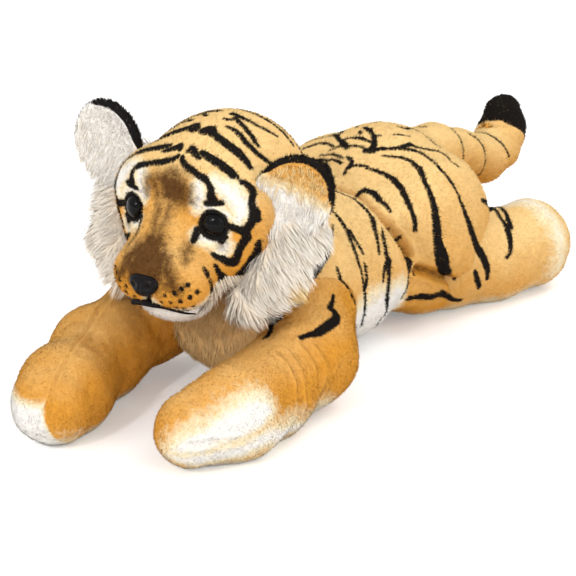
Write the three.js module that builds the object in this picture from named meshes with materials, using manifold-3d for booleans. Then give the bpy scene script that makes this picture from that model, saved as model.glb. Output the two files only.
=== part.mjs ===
// A stuffed toy tiger that lies on its belly, at its real size in millimetres.
// +Z is up, the tiger looks along -Y and its left side is +X. The origin is on the
// ground under the middle of the belly. Each sewn cover is a shell of plush that is
// open where it is sewn to its neighbour, and it holds its own stuffing.
import * as THREE from "three";
import { mergeVertices } from "three/addons/utils/BufferGeometryUtils.js";
import Module from "manifold-3d";

const wasm = await Module();
wasm.setup();

// Cloth and clearances
const PLUSH = 4; // short pile and its backing
const SEAM_GAP = 0.3; // between pieces that touch
const FLOOR_FLAT = 0.5; // depth pressed flat where a soft form lies on the ground
const TURN_GAP = 0.6; // what a moving piece is cleared by
const BIB_GAP = 1.8; // what the long pile of the bib is cleared by
const TURN_STEP_ANGLE = 9; // degrees between the positions that a moving piece is cleared at
const SEAM_HOLE_SHARE = 0.7; // width of the opening under a seam, to the limb there
const MERGE_REACH = 0.02; // edges of a cut that are shorter than this are closed up

// Torso, with the shoulders and haunches that belong to its panels
const TORSO = { length: 352, width: 232, height: 176, chestReach: 155, blend: 20 };
// Lobes: [side, along, up, then half sizes side, along, up], as shares of the half
// width, the length and the height
const TORSO_LOBE_SHARES = {
  chest: [0, 0.165, 0.45, 0.55, 0.155, 0.42],
  nape: [0, 0.25, 0.6, 0.44, 0.15, 0.29],
  barrel: [0, 0.44, 0.42, 0.73, 0.37, 0.42],
  rump: [0, 0.76, 0.5, 0.66, 0.24, 0.48],
};
const TORSO_PAIR_SHARES = {
  haunch: [0.51, 0.735, 0.45, 0.37, 0.235, 0.41],
  shoulder: [0.42, 0.2, 0.46, 0.34, 0.13, 0.34],
};
const TORSO_SPINE_SHARES = [
  [0.2, 0.46],
  [0.5, 0.46],
  [0.78, 0.48],
];

// Head: a long skull with cheeks, brows, a bridge, and a snout with two pads
const HEAD = { width: 140, length: 166, height: 134, forward: 135, lift: 176, blend: 16 };
// Lobes as above, counted from the middle of the skull
const HEAD_LOBE_SHARES = {
  skull: [0, -0.01, 0, 0.95, 0.47, 0.5],
  bridge: [0, -0.37, -0.13, 0.34, 0.19, 0.2],
  snout: [0, -0.43, -0.3, 0.55, 0.22, 0.2],
};
const HEAD_PAIR_SHARES = {
  cheek: [0.52, -0.17, -0.2, 0.5, 0.25, 0.27],
  brow: [0.4, -0.35, 0.2, 0.3, 0.1, 0.1],
  pad: [0.26, -0.53, -0.38, 0.36, 0.12, 0.15],
  temple: [0.68, -0.26, 0.03, 0.41, 0.14, 0.22],
};
const JAW = { width: 68, length: 56, height: 42, forward: 70, drop: 69 };
const NECK = { turnAngle: 18, forward: 95, hole: 148 };

// Cheek ruffs: long-pile crescents from the ear to below the chin
const RUFF = { span: 100, thickness: 34, flare: { left: 0, right: 7 } };
// [side, forward, up, radius], as shares of the half head width, the span, the span
// and half the thickness, counted from the middle of the skull
const RUFF_SHARES = [
  [1.08, 0, 0.12, 0.7],
  [1.2, -0.2, -0.16, 1],
  [1.16, -0.38, -0.46, 1],
  [0.88, -0.52, -0.72, 0.9],
];

// Ears: a cupped plush back and a long-pile lining
const EAR = { width: 62, height: 72, thickness: 22, rim: 5, scoop: 8, lining: 4, root: 10 };
const EAR_FOLD_ANGLE = 20;
const EAR_POSE = {
  left: { forward: 34, rise: 20, rollAngle: 40, yawAngle: 20 },
  right: { forward: 34, rise: 35, rollAngle: 22, yawAngle: -4 },
};
const EAR_OUT_SHARE = { left: 9 / 14, right: 19 / 28 }; // of the head's width

// Chest bib: a long-pile panel between the front legs
const BIB = { width: 118, thickness: 64, height: 88, forward: 135, lift: 60 };

// Eyes and nose: moulded pieces with a shank and a lock washer inside the head
const EYE = { diameter: 20, dome: 7, drop: 2, splayAngle: 26, sink: 1.6 };
const EYE_APART_SHARE = 4 / 7; // of the head's width
const NOSE = { width: 27, height: 19, depth: 7, round: 2.5, drop: 48, sink: 1.6, tiltAngle: 12 };
// Half of the outline from the chin side to the notch on top: pairs of a bend and a
// corner, as shares of the half width and the half height
const NOSE_SHARES = [
  [[0.35, -1], [0.8, 0.2]],
  [[1.25, 1], [0.5, 1]],
  [[0, 0.8], [-0.5, 1]],
];
const SHANK = { diameter: 4.6, length: 15 };
const WASHER = { diameter: 15, thickness: 1.8, hub: 8, hubThickness: 3.4, sink: 0.8 };

// Front legs. The reach is from the shoulder to the middle of the right paw
const FRONT_LEG = { spread: 80, reach: 200, thickness: 76, forward: 105, blend: 14 };
const FRONT_LEG_SWING = { inwardAngle: 5, outwardAngle: 25 };
// [side, forward, radius, up] as shares of the spread, the reach, half the thickness
// and half the thickness, where up is counted from a leg that lies on the ground
const FRONT_LEG_SHARES = {
  left: [
    [0.8, 0, 1, 1],
    [1, 0.12, 1, 0],
    [1, 0.44, 0.9, 0],
    [1.02, 0.67, 0.99, 0],
    [0.8, 0.89, 0.8, 0],
  ],
  right: [
    [-0.8, 0, 1, 1],
    [-1.16, 0.17, 1, 0],
    [-1.06, 0.56, 0.9, 0],
    [-0.74, 0.88, 1.03, 0],
    [-0.64, 1, 0.96, 0],
  ],
};

// Hind legs, which stretch out behind the haunches
const HIND_LEG = { apart: 132, reach: 94, thickness: 86, splayAngle: 22, blend: 14 };
const HIND_LEG_SWING = { inwardAngle: 8, outwardAngle: 25 };
const HIP_SHARE = 0.83; // place of the hips along the torso
// [share of the reach, radius as a share of half the thickness]
const HIND_LEG_SHARES = [
  [0, 0.92],
  [0.5, 0.92],
  [1, 1],
];

// Tail with a black tip
const TAIL = { thickness: 50, reach: 200, sag: 42, tip: 34, swingAngle: 20, blend: 12 };
const TAIL_ROOT_SHARE = { along: 0.88, up: 0.73 };
// [back, up, radius] as shares of the reach, the sag and half the thickness
const TAIL_SHARES = [
  [0, 0, 1.04],
  [0.28, -0.12, 0.96],
  [0.54, -0.5, 0.88],
  [0.8, -0.9, 0.84],
  [0.97, -0.8, 0.8],
  [1.04, -0.36, 0.74],
  [1.04, 0.06, 0.66],
];

// How finely the skins are drawn: [sides, rings]
const MESH = {
  torso: [24, 18],
  torsoInside: [12, 9],
  head: [26, 20],
  headInside: [20, 15],
  limb: [16, 13],
  limbInside: [10, 8],
  small: [14, 10],
  ear: [16, 10],
  hole: [8, 4],
  tip: [24, 12],
};
const LATHE_SIDES = 16;

const X = new THREE.Vector3(1, 0, 0);
const Y = new THREE.Vector3(0, 1, 0);
const Z = new THREE.Vector3(0, 0, 1);
const SIDES = { left: 1, right: -1 };
const vec = (x, y, z) => new THREE.Vector3(x, y, z);
const { lerp, clamp, degToRad } = THREE.MathUtils;

// Solids from geometry, and back

// A geometry with its corners alone, each of them held once. A built-in geometry is
// merged before it is placed, while the two edges of its seam agree
function merged(geometry) {
  const plain = new THREE.BufferGeometry();
  plain.setAttribute("position", geometry.getAttribute("position").clone());
  if (geometry.index) plain.setIndex(geometry.index.clone());
  return mergeVertices(plain, MERGE_REACH / 100);
}

function solidOf(geometry) {
  return new wasm.Manifold(
    new wasm.Mesh({
      numProp: 3,
      vertProperties: geometry.getAttribute("position").array,
      triVerts: new Uint32Array(geometry.index.array),
    }),
  );
}

// Closes up the short edges that cuts leave, where that keeps the skin whole: the two
// ends of such an edge then have two neighbours in common
function withoutShortEdges(points, triangles) {
  const around = points.map(() => new Set());
  triangles.forEach((corners, n) => corners.forEach((v) => around[v].add(n)));
  const near = (v) => new Set([...around[v]].flatMap((n) => triangles[n]));
  const isShort = (u, v) => u !== v && points[u].distanceTo(points[v]) < MERGE_REACH;
  for (let u = 0; u < points.length; u++) {
    for (const v of near(u)) {
      const reach = near(v);
      const shared = [...near(u)].filter((w) => w !== u && w !== v && reach.has(w));
      if (!isShort(u, v) || !reach.has(u) || shared.length !== 2) continue;
      for (const n of around[v]) {
        if (triangles[n].includes(u)) {
          for (const w of shared) around[w].delete(n);
          around[u].delete(n);
          triangles[n] = [];
        } else {
          triangles[n][triangles[n].indexOf(v)] = u;
          around[u].add(n);
        }
      }
      around[v].clear();
    }
  }
  return triangles.flat();
}

function geometryOf(solid) {
  const mesh = solid.getMesh();
  const points = Array.from({ length: mesh.numVert }, (_, i) =>
    vec(0, 0, 0).fromArray(mesh.vertProperties, i * mesh.numProp),
  );
  const triangles = Array.from({ length: mesh.triVerts.length / 3 }, (_, i) =>
    Array.from(mesh.triVerts.subarray(i * 3, i * 3 + 3)),
  );
  const geometry = new THREE.BufferGeometry().setFromPoints(points);
  geometry.setIndex(withoutShortEdges(points, triangles));
  geometry.computeVertexNormals();
  return geometry;
}

// The largest connected body of a solid, so that a cut leaves no crumbs
const mainBody = (solid) => solid.decompose().reduce((a, b) => (a.volume() > b.volume() ? a : b));

const union = (solids) => solids.reduce((all, one) => all.add(one));

// A geometry turned about an axis through a point
function turned(geometry, { pivot, axis }, degrees) {
  const matrix = new THREE.Matrix4()
    .makeTranslation(pivot.x, pivot.y, pivot.z)
    .multiply(new THREE.Matrix4().makeRotationAxis(axis, degToRad(degrees)))
    .multiply(new THREE.Matrix4().makeTranslation(-pivot.x, -pivot.y, -pivot.z));
  return geometry.clone().applyMatrix4(matrix);
}

// All that a geometry passes through while it turns on its joint
function swept(geometry, joint) {
  const steps = Math.max(1, Math.ceil((joint.high - joint.low) / TURN_STEP_ANGLE));
  const stops = Array.from({ length: steps + 1 }, (_, i) => lerp(joint.low, joint.high, i / steps));
  return union(stops.map((degrees) => solidOf(turned(geometry, joint, degrees))));
}

// The same for what stays still, as the piece that turns sees it
const sweptPast = (geometry, joint) =>
  swept(geometry, { ...joint, low: -joint.high, high: -joint.low });

// A geometry drawn along +Y or +Z, set at a point to look in a direction
function aimed(geometry, from, at, direction) {
  const turn = new THREE.Quaternion().setFromUnitVectors(from, direction);
  return geometry.clone().applyQuaternion(turn).translate(at.x, at.y, at.z);
}

const ball = (at, radius, mesh) =>
  merged(new THREE.SphereGeometry(radius, ...mesh)).translate(at.x, at.y, at.z);

// The block under the ground, which presses soft undersides flat
const GROUND_SIZE = 4 * TORSO.length;
const ground = solidOf(
  merged(new THREE.BoxGeometry(GROUND_SIZE, GROUND_SIZE, TORSO.height)).translate(
    0,
    0,
    -TORSO.height / 2,
  ),
);

// Soft forms: ovals and tapered rods that run into one another

const oval = (at, size) => ({ at, size });
const rod = (from, to, radii) => ({ from, to, radii });

// About how far a point lies outside one lobe
function outside(point, lobe) {
  if (lobe.from) {
    const line = lobe.to.clone().sub(lobe.from);
    const share = clamp(point.clone().sub(lobe.from).dot(line) / line.lengthSq(), 0, 1);
    const near = lobe.from.clone().addScaledVector(line, share);
    return point.distanceTo(near) - lerp(lobe.radii[0], lobe.radii[1], share);
  }
  const once = point.clone().sub(lobe.at).divide(lobe.size);
  const twice = once.clone().divide(lobe.size);
  return (once.length() * (once.length() - 1)) / Math.max(twice.length(), 1e-9);
}

// The same for all lobes, where each runs into the next over the blend
function outsideAll(point, { lobes, blend }) {
  return lobes
    .map((lobe) => outside(point, lobe))
    .reduce((a, b) => {
      const mix = Math.max(blend - Math.abs(a - b), 0) / blend;
      return Math.min(a, b) - (mix * mix * blend) / 4;
    });
}

// Where a ray leaves a form, or the layer at an offset from it, found by halving
function surfacePoint(from, direction, form, offset) {
  let near = 0;
  let far = form.span;
  for (let step = 0; step < 22; step++) {
    const middle = (near + far) / 2;
    const value = outsideAll(from.clone().addScaledVector(direction, middle), form);
    if (value < offset) near = middle;
    else far = middle;
  }
  return from.clone().addScaledVector(direction, near);
}

// The skin of a form: rings of rays from its spine, fanned out at both ends
function skin(form, offset, [sides, rings]) {
  const curve = new THREE.CatmullRomCurve3(form.spine, false, "centripetal");
  const length = curve.getLength();
  const fans = form.ends.map((radius) => (radius * Math.PI) / 2);
  const whole = fans[0] + length + fans[1];
  const points = [];
  const index = [];
  for (let ring = 0; ring <= rings; ring++) {
    const path = (whole * ring) / rings;
    const share = clamp((path - fans[0]) / length, 0, 1);
    const before = Math.max(fans[0] - path, 0) / fans[0];
    const after = Math.max(path - fans[0] - length, 0) / fans[1];
    const lean = ((after - before) * Math.PI) / 2;
    const centre = curve.getPointAt(share);
    const ahead = curve.getTangentAt(share);
    const across = X.clone().addScaledVector(ahead, -X.dot(ahead)).normalize();
    const over = across.clone().cross(ahead);
    const count = ring === 0 || ring === rings ? 1 : sides;
    for (let side = 0; side < count; side++) {
      const turn = (2 * Math.PI * side) / sides;
      const direction = vec(0, 0, 0)
        .addScaledVector(across, Math.cos(lean) * Math.cos(turn))
        .addScaledVector(over, Math.cos(lean) * Math.sin(turn))
        .addScaledVector(ahead, Math.sin(lean));
      const p = surfacePoint(centre, direction, form, offset);
      points.push(p.x, p.y, p.z);
    }
  }
  const last = points.length / 3 - 1;
  const at = (ring, side) => 1 + (ring - 1) * sides + (side % sides);
  for (let side = 0; side < sides; side++) {
    index.push(0, at(1, side), at(1, side + 1));
    index.push(last, at(rings - 1, side + 1), at(rings - 1, side));
    for (let ring = 1; ring < rings - 1; ring++) {
      index.push(at(ring, side), at(ring + 1, side), at(ring, side + 1));
      index.push(at(ring, side + 1), at(ring + 1, side), at(ring + 1, side + 1));
    }
  }
  const geometry = new THREE.BufferGeometry();
  geometry.setAttribute("position", new THREE.Float32BufferAttribute(points, 3));
  geometry.setIndex(index);
  return geometry;
}

// A form moved up or down until it is pressed into the ground by its flat
function rested(form, mesh) {
  const geometry = skin(form, 0, mesh);
  geometry.computeBoundingBox();
  const lift = vec(0, 0, -FLOOR_FLAT - geometry.boundingBox.min.z);
  return {
    ...form,
    spine: form.spine.map((p) => p.clone().add(lift)),
    lobes: form.lobes.map((lobe) =>
      lobe.from
        ? rod(lobe.from.clone().add(lift), lobe.to.clone().add(lift), lobe.radii)
        : oval(lobe.at.clone().add(lift), lobe.size),
    ),
  };
}

// A form along a chain of points, with a radius at each
function chainForm(points, radii, blend) {
  const lobes = points.slice(1).map((p, i) => rod(points[i], p, [radii[i], radii[i + 1]]));
  const ends = [radii[0], radii[radii.length - 1]];
  return { lobes, blend, spine: points, ends, span: 3 * Math.max(...radii) };
}

// Materials, as the toy shows them

const plush = (colour) =>
  new THREE.MeshStandardMaterial({ color: colour, roughness: 0.95, metalness: 0 });
const MATERIALS = {
  tawny: plush(0xd9a862),
  gold: plush(0xc98d3c),
  white: plush(0xeee6dc),
  bib: plush(0xc9b08c),
  black: plush(0x1d1c1b),
  stuffing: plush(0xf4f2ee),
  gloss: new THREE.MeshStandardMaterial({ color: 0x070707, roughness: 0.12, metalness: 0 }),
  satin: new THREE.MeshStandardMaterial({ color: 0x151413, roughness: 0.4, metalness: 0 }),
  washer: new THREE.MeshStandardMaterial({ color: 0xe4e2dc, roughness: 0.5, metalness: 0 }),
};

const tiger = new THREE.Group();
function addPiece(name, solid, material) {
  const mesh = new THREE.Mesh(geometryOf(mainBody(solid)), MATERIALS[material].clone());
  mesh.name = name;
  tiger.add(mesh);
}

// A sewn piece: its shell of plush and the stuffing in it, both open at the seams
function addSewn(name, form, [outer, inner], material, coverCut, stuffingCut) {
  const shell = solidOf(skin(form, 0, outer)).subtract(solidOf(skin(form, -PLUSH, inner)));
  addPiece(`${name}_cover`, shell.subtract(coverCut), material);
  const filling = solidOf(skin(form, -PLUSH - SEAM_GAP, inner));
  addPiece(`${name}_stuffing`, filling.subtract(stuffingCut), "stuffing");
}

// Forms of the torso and the head

const torsoPlace = (side, along, up) =>
  vec((side * TORSO.width) / 2, along * TORSO.length - TORSO.chestReach, up * TORSO.height);
const torsoLobe = ([side, along, up, wide, long, high], mirror = 1) =>
  oval(
    torsoPlace(mirror * side, along, up),
    vec((wide * TORSO.width) / 2, long * TORSO.length, high * TORSO.height),
  );
const torsoForm = rested(
  {
    lobes: [
      ...Object.values(TORSO_LOBE_SHARES).map((row) => torsoLobe(row)),
      ...Object.values(TORSO_PAIR_SHARES).flatMap((row) => [torsoLobe(row), torsoLobe(row, -1)]),
    ],
    blend: TORSO.blend,
    spine: TORSO_SPINE_SHARES.map(([along, up]) => torsoPlace(0, along, up)),
    ends: [TORSO.height / 3, TORSO.height / 3],
    span: TORSO.width,
  },
  MESH.torso,
);
const torsoClear = skin(torsoForm, TURN_GAP, MESH.torso);

const skullAt = vec(0, -HEAD.forward, HEAD.lift);
const headLobe = ([side, along, up, wide, long, high], mirror = 1) =>
  oval(
    skullAt
      .clone()
      .add(vec((mirror * side * HEAD.width) / 2, along * HEAD.length, up * HEAD.height)),
    vec((wide * HEAD.width) / 2, long * HEAD.length, high * HEAD.height),
  );
const headForm = {
  lobes: [
    ...Object.values(HEAD_LOBE_SHARES).map((row) => headLobe(row)),
    ...Object.values(HEAD_PAIR_SHARES).flatMap((row) => [headLobe(row), headLobe(row, -1)]),
  ],
  blend: HEAD.blend,
  spine: [skullAt, skullAt.clone().add(vec(0, HEAD.length / 8, 0))],
  ends: [HEAD.height / 2, HEAD.height / 2],
  span: HEAD.length,
};
const headClear = skin(headForm, SEAM_GAP, MESH.head);

const jawAt = skullAt.clone().add(vec(0, -JAW.forward, -JAW.drop));
const jawForm = {
  lobes: [oval(jawAt, vec(JAW.width / 2, JAW.length / 2, JAW.height / 2))],
  blend: HEAD.blend,
  spine: [jawAt, jawAt.clone().add(vec(0, JAW.length / 8, 0))],
  ends: [JAW.height / 2, JAW.height / 2],
  span: JAW.width,
};

const neckJoint = {
  pivot: vec(0, -NECK.forward, TORSO.height / 2),
  axis: Z,
  low: -NECK.turnAngle,
  high: NECK.turnAngle,
};
const torsoPastHead = sweptPast(torsoClear, neckJoint);

// Forms of the limbs, each with the joint at its seam

function frontLeg(side) {
  const rows = FRONT_LEG_SHARES[side];
  const radii = rows.map(([, , radius]) => (radius * FRONT_LEG.thickness) / 2);
  const points = rows.map(([across, forward, , up], i) =>
    vec(
      across * FRONT_LEG.spread,
      -FRONT_LEG.forward - forward * FRONT_LEG.reach,
      radii[i] + (up * FRONT_LEG.thickness) / 2,
    ),
  );
  const form = rested(chainForm(points, radii, FRONT_LEG.blend), MESH.limb);
  const joint = {
    pivot: form.spine[0],
    axis: Z.clone().multiplyScalar(SIDES[side]),
    low: -FRONT_LEG_SWING.inwardAngle,
    high: FRONT_LEG_SWING.outwardAngle,
  };
  return { form, joint };
}

function hindLeg(side) {
  const radii = HIND_LEG_SHARES.map(([, radius]) => (radius * HIND_LEG.thickness) / 2);
  const lean = degToRad(HIND_LEG.splayAngle);
  const points = HIND_LEG_SHARES.map(([share], i) =>
    vec(
      SIDES[side] * (HIND_LEG.apart / 2 + share * HIND_LEG.reach * Math.sin(lean)),
      torsoPlace(0, HIP_SHARE, 0).y + share * HIND_LEG.reach * Math.cos(lean),
      radii[i],
    ),
  );
  const form = rested(chainForm(points, radii, HIND_LEG.blend), MESH.limb);
  const joint = {
    pivot: form.spine[0],
    axis: Z.clone().multiplyScalar(-SIDES[side]),
    low: -HIND_LEG_SWING.inwardAngle,
    high: HIND_LEG_SWING.outwardAngle,
  };
  return { form, joint };
}

const legs = Object.keys(SIDES).flatMap((side) => [
  { name: `front_${side}_leg`, ...frontLeg(side) },
  { name: `hind_${side}_leg`, ...hindLeg(side) },
]);

function tailAndJoint() {
  const root = torsoPlace(0, TAIL_ROOT_SHARE.along, TAIL_ROOT_SHARE.up);
  const points = TAIL_SHARES.map(([back, up]) =>
    root.clone().add(vec(0, back * TAIL.reach, up * TAIL.sag)),
  );
  const radii = TAIL_SHARES.map(([, , radius]) => (radius * TAIL.thickness) / 2);
  const joint = { pivot: root, axis: Z, low: -TAIL.swingAngle, high: TAIL.swingAngle };
  return { form: chainForm(points, radii, TAIL.blend), joint };
}
const tail = tailAndJoint();

// Eyes and nose: where each sits on the face and where it looks

function faceSeat(side, across, drop, direction) {
  const inside = skullAt.clone().add(vec((side * across) / 2, 0, -drop));
  const at = surfacePoint(inside, Y.clone().negate(), headForm, 0);
  return { at, direction: direction.normalize() };
}
const seats = {
  nose: faceSeat(
    0,
    0,
    NOSE.drop,
    vec(0, -Math.cos(degToRad(NOSE.tiltAngle)), Math.sin(degToRad(NOSE.tiltAngle))),
  ),
};
for (const [side, sign] of Object.entries(SIDES)) {
  const splay = degToRad(EYE.splayAngle);
  const direction = vec(sign * Math.sin(splay), -Math.cos(splay), 0);
  seats[`${side}_eye`] = faceSeat(sign, EYE_APART_SHARE * HEAD.width, EYE.drop, direction);
}

// A turned piece on a seat, from a profile of [radius, height above the face]
const turnedAt = (seat, profile, sides) =>
  solidOf(
    aimed(
      merged(
        new THREE.LatheGeometry(
          profile.map(([radius, height]) => new THREE.Vector2(radius, height)),
          sides,
        ),
      ),
      Y,
      seat.at,
      seat.direction,
    ),
  );
const rodAt = (seat, radius, low, high, sides) =>
  turnedAt(seat, [[0, low], [radius, low], [radius, high], [0, high]], sides);

const eyeArc = [0, 1, 2, 3, 4, 5].map((i) => (i / 5) * (Math.PI / 2));
function addEye(side) {
  const seat = seats[`${side}_eye`];
  const profile = [
    [0, -SHANK.length],
    [SHANK.diameter / 2, -SHANK.length],
    [SHANK.diameter / 2, -EYE.sink],
    [EYE.diameter / 2, -EYE.sink],
    ...eyeArc.map((turn, i) => [
      i === eyeArc.length - 1 ? 0 : (EYE.diameter / 2) * Math.cos(turn),
      EYE.dome * Math.sin(turn),
    ]),
  ];
  addPiece(`${side}_eye`, turnedAt(seat, profile, LATHE_SIDES), "gloss");
}

// The nose is a rounded triangle with its broad side up
function addNose() {
  const half = NOSE.width / 2 - NOSE.round;
  const high = NOSE.height / 2 - NOSE.round;
  const [lower, upper, notch] = NOSE_SHARES;
  const bend = ([[u, v], [x, y]], side) =>
    shape.quadraticCurveTo(side * u * half, v * high, side * x * half, y * high);
  const shape = new THREE.Shape();
  shape.moveTo(0, -high);
  bend(lower, 1);
  bend(upper, 1);
  bend(notch, 1);
  bend([upper[0], lower[1]], -1);
  bend([lower[0], [0, -1]], -1);
  const plate = new THREE.ExtrudeGeometry(shape, {
    depth: NOSE.depth - NOSE.round,
    bevelThickness: NOSE.round,
    bevelSize: NOSE.round,
    bevelSegments: 3,
    curveSegments: 6,
  });
  // The bevel on the back is cut away, so that the nose sits flat on the snout
  const flat = new THREE.BoxGeometry(NOSE.width * 2, NOSE.width * 2, NOSE.width);
  flat.translate(0, 0, -NOSE.width / 2);
  const tipped = new THREE.Matrix4().makeRotationX(Math.PI / 2 - degToRad(NOSE.tiltAngle));
  const body = solidOf(merged(plate)).subtract(solidOf(merged(flat)));
  const placed = geometryOf(body)
    .applyMatrix4(tipped)
    .translate(0, seats.nose.at.y, seats.nose.at.z);
  const sunk = seats.nose.direction.clone().multiplyScalar(-NOSE.sink);
  placed.translate(sunk.x, sunk.y, sunk.z);
  const shank = rodAt(seats.nose, SHANK.diameter / 2, -SHANK.length, -NOSE.sink / 2, LATHE_SIDES);
  addPiece("nose", solidOf(placed).add(shank), "satin");
}

function addWasher(name, seat) {
  const top = -PLUSH + WASHER.sink - SEAM_GAP;
  const hole = SHANK.diameter / 2 + SEAM_GAP;
  const profile = [
    [hole, top],
    [hole, top - WASHER.hubThickness],
    [WASHER.hub / 2, top - WASHER.hubThickness],
    [WASHER.hub / 2, top - WASHER.thickness],
    [WASHER.diameter / 2, top - WASHER.thickness],
    [WASHER.diameter / 2, top],
    [hole, top],
  ];
  addPiece(name, turnedAt(seat, profile, LATHE_SIDES), "washer");
}

// What a seat takes out of the head: from the cover a recess for the piece, a hole
// for its shank and a flat for the washer, and from the stuffing a pocket
function seatCuts(seat, recess, sink) {
  const washer = WASHER.diameter / 2 + SEAM_GAP;
  const flat = -PLUSH + WASHER.sink;
  const cover = union([
    rodAt(seat, recess + SEAM_GAP, -sink - SEAM_GAP, PLUSH, LATHE_SIDES),
    rodAt(seat, SHANK.diameter / 2 + SEAM_GAP, -SHANK.length, PLUSH, LATHE_SIDES),
    rodAt(seat, washer, -SHANK.length, flat, LATHE_SIDES),
  ]);
  return { cover, stuffing: rodAt(seat, washer, -SHANK.length - SEAM_GAP, flat, LATHE_SIDES) };
}
const faceCuts = [
  seatCuts(seats.left_eye, EYE.diameter / 2, EYE.sink),
  seatCuts(seats.right_eye, EYE.diameter / 2, EYE.sink),
  seatCuts(seats.nose, Math.hypot(NOSE.width, NOSE.height) / 2, NOSE.sink),
];

// Ears: an oval that is scooped out in front, and a lining in the scoop

function ear(side) {
  const pose = EAR_POSE[side];
  const sign = SIDES[side];
  const at = skullAt.clone().add(vec(sign * EAR_OUT_SHARE[side] * HEAD.width, -pose.forward, pose.rise));
  const turn = new THREE.Matrix4()
    .makeTranslation(at.x, at.y, at.z)
    .multiply(new THREE.Matrix4().makeRotationZ(degToRad(sign * pose.yawAngle)))
    .multiply(new THREE.Matrix4().makeRotationY(degToRad(sign * pose.rollAngle)));
  const size = vec(EAR.width / 2, EAR.thickness / 2, EAR.height / 2);
  const place = (shrink, forward) =>
    merged(new THREE.SphereGeometry(1, ...MESH.ear))
      .scale(size.x - shrink, size.y + (shrink ? EAR.scoop / 2 : 0), size.z - shrink)
      .translate(0, -forward, 0)
      .applyMatrix4(turn);
  const grown = merged(new THREE.SphereGeometry(1, ...MESH.ear))
    .scale(size.x + SEAM_GAP, size.y + SEAM_GAP, size.z + SEAM_GAP)
    .applyMatrix4(turn);
  const joint = {
    pivot: vec(0, 0, EAR.root - size.z).applyMatrix4(turn),
    axis: X.clone().transformDirection(turn),
    low: -EAR_FOLD_ANGLE,
    high: EAR_FOLD_ANGLE,
  };
  const whole = solidOf(place(0, 0));
  const back = whole.subtract(solidOf(place(EAR.rim, EAR.scoop)));
  const lining = whole
    .intersect(solidOf(place(EAR.rim + SEAM_GAP, EAR.scoop)))
    .subtract(solidOf(place(EAR.rim + SEAM_GAP, EAR.scoop + EAR.lining)));
  return { back, lining, grown, joint };
}
const ears = { left: ear("left"), right: ear("right") };

// Ruffs

function ruffForm(side) {
  const points = RUFF_SHARES.map(([across, forward, up]) =>
    skullAt
      .clone()
      .add(vec((across * HEAD.width) / 2, forward * RUFF.span, up * RUFF.span))
      .add(vec(RUFF.flare[side], 0, 0))
      .multiply(vec(SIDES[side], 1, 1)),
  );
  const radii = RUFF_SHARES.map(([, , , radius]) => (radius * RUFF.thickness) / 2);
  return chainForm(points, radii, HEAD.blend);
}

// The pieces

const seamHole = ({ joint, form }) =>
  solidOf(ball(joint.pivot, form.ends[0] * SEAM_HOLE_SHARE, MESH.hole));
const openings = union([
  solidOf(ball(vec(0, -NECK.forward, NECK.hole), (TORSO.height * SEAM_HOLE_SHARE) / 4, MESH.hole)),
  ...[tail, ...legs].map(seamHole),
]);
const torsoMeshes = [MESH.torso, MESH.torsoInside];
addSewn("torso", torsoForm, torsoMeshes, "tawny", openings.add(ground), ground);

const limbMeshes = [MESH.limb, MESH.limbInside];
for (const { name, form, joint } of legs) {
  const open = sweptPast(torsoClear, joint).add(ground);
  addSewn(name, form, limbMeshes, "gold", open, open);
}

const tailOpen = sweptPast(torsoClear, tail.joint);
const tipAt = tail.form.spine[tail.form.spine.length - 1];
const tipReach = (radius) => solidOf(ball(tipAt, radius, MESH.tip));
addSewn(
  "tail",
  tail.form,
  limbMeshes,
  "tawny",
  tailOpen.add(tipReach(TAIL.tip + SEAM_GAP)),
  tailOpen,
);
const tip = solidOf(skin(tail.form, 0, MESH.limb))
  .subtract(solidOf(skin(tail.form, -PLUSH, MESH.limbInside)))
  .intersect(tipReach(TAIL.tip));
addPiece("tail_tip", tip, "black");

const cutAll = (kind) => union(faceCuts.map((cut) => cut[kind])).add(torsoPastHead);
const headMeshes = [MESH.head, MESH.headInside];
addSewn("head", headForm, headMeshes, "tawny", cutAll("cover"), cutAll("stuffing"));
addPiece("lower_jaw", solidOf(skin(jawForm, 0, MESH.small)).subtract(solidOf(headClear)), "white");

for (const side of Object.keys(SIDES)) {
  const { back, lining, grown, joint } = ears[side];
  const headPastEar = sweptPast(headClear, joint);
  addPiece(`${side}_ear_back`, back.subtract(headPastEar), "tawny");
  addPiece(`${side}_ear_lining`, lining.subtract(headPastEar), "white");
  const ruff = solidOf(skin(ruffForm(side), 0, MESH.small))
    .subtract(solidOf(headClear))
    .subtract(torsoPastHead)
    .subtract(swept(grown, joint));
  addPiece(`${side}_cheek_ruff`, ruff, "white");
  addEye(side);
  addWasher(`${side}_eye_washer`, seats[`${side}_eye`]);
}
addNose();
addWasher("nose_washer", seats.nose);

const bibAt = vec(0, -BIB.forward, BIB.lift);
const bibForm = {
  lobes: [oval(bibAt, vec(BIB.width / 2, BIB.thickness / 2, BIB.height / 2))],
  blend: TORSO.blend,
  spine: [bibAt, bibAt.clone().add(vec(0, BIB.thickness / 8, 0))],
  ends: [BIB.height / 2, BIB.height / 2],
  span: BIB.height,
};
const bibClear = [
  solidOf(torsoClear),
  swept(headClear, neckJoint),
  swept(skin(jawForm, SEAM_GAP, MESH.small), neckJoint),
  ...legs.map(({ form, joint }) => swept(skin(form, BIB_GAP, MESH.limb), joint)),
];
addPiece("chest_bib", solidOf(skin(bibForm, 0, MESH.limb)).subtract(union(bibClear)), "bib");

// How the sewn pieces move: the place and the axis of each seam, and its range
tiger.userData.joints = {
  neck: neckJoint,
  tail: tail.joint,
  left_ear: ears.left.joint,
  right_ear: ears.right.joint,
  ...Object.fromEntries(legs.map(({ name, joint }) => [name, joint])),
};

export default tiger;
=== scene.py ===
"""A lying tiger cub in plush: stuffed skins, printed stripes, short and long pile, and its face."""
from math import cos, pi, radians, sin, sqrt

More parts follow.
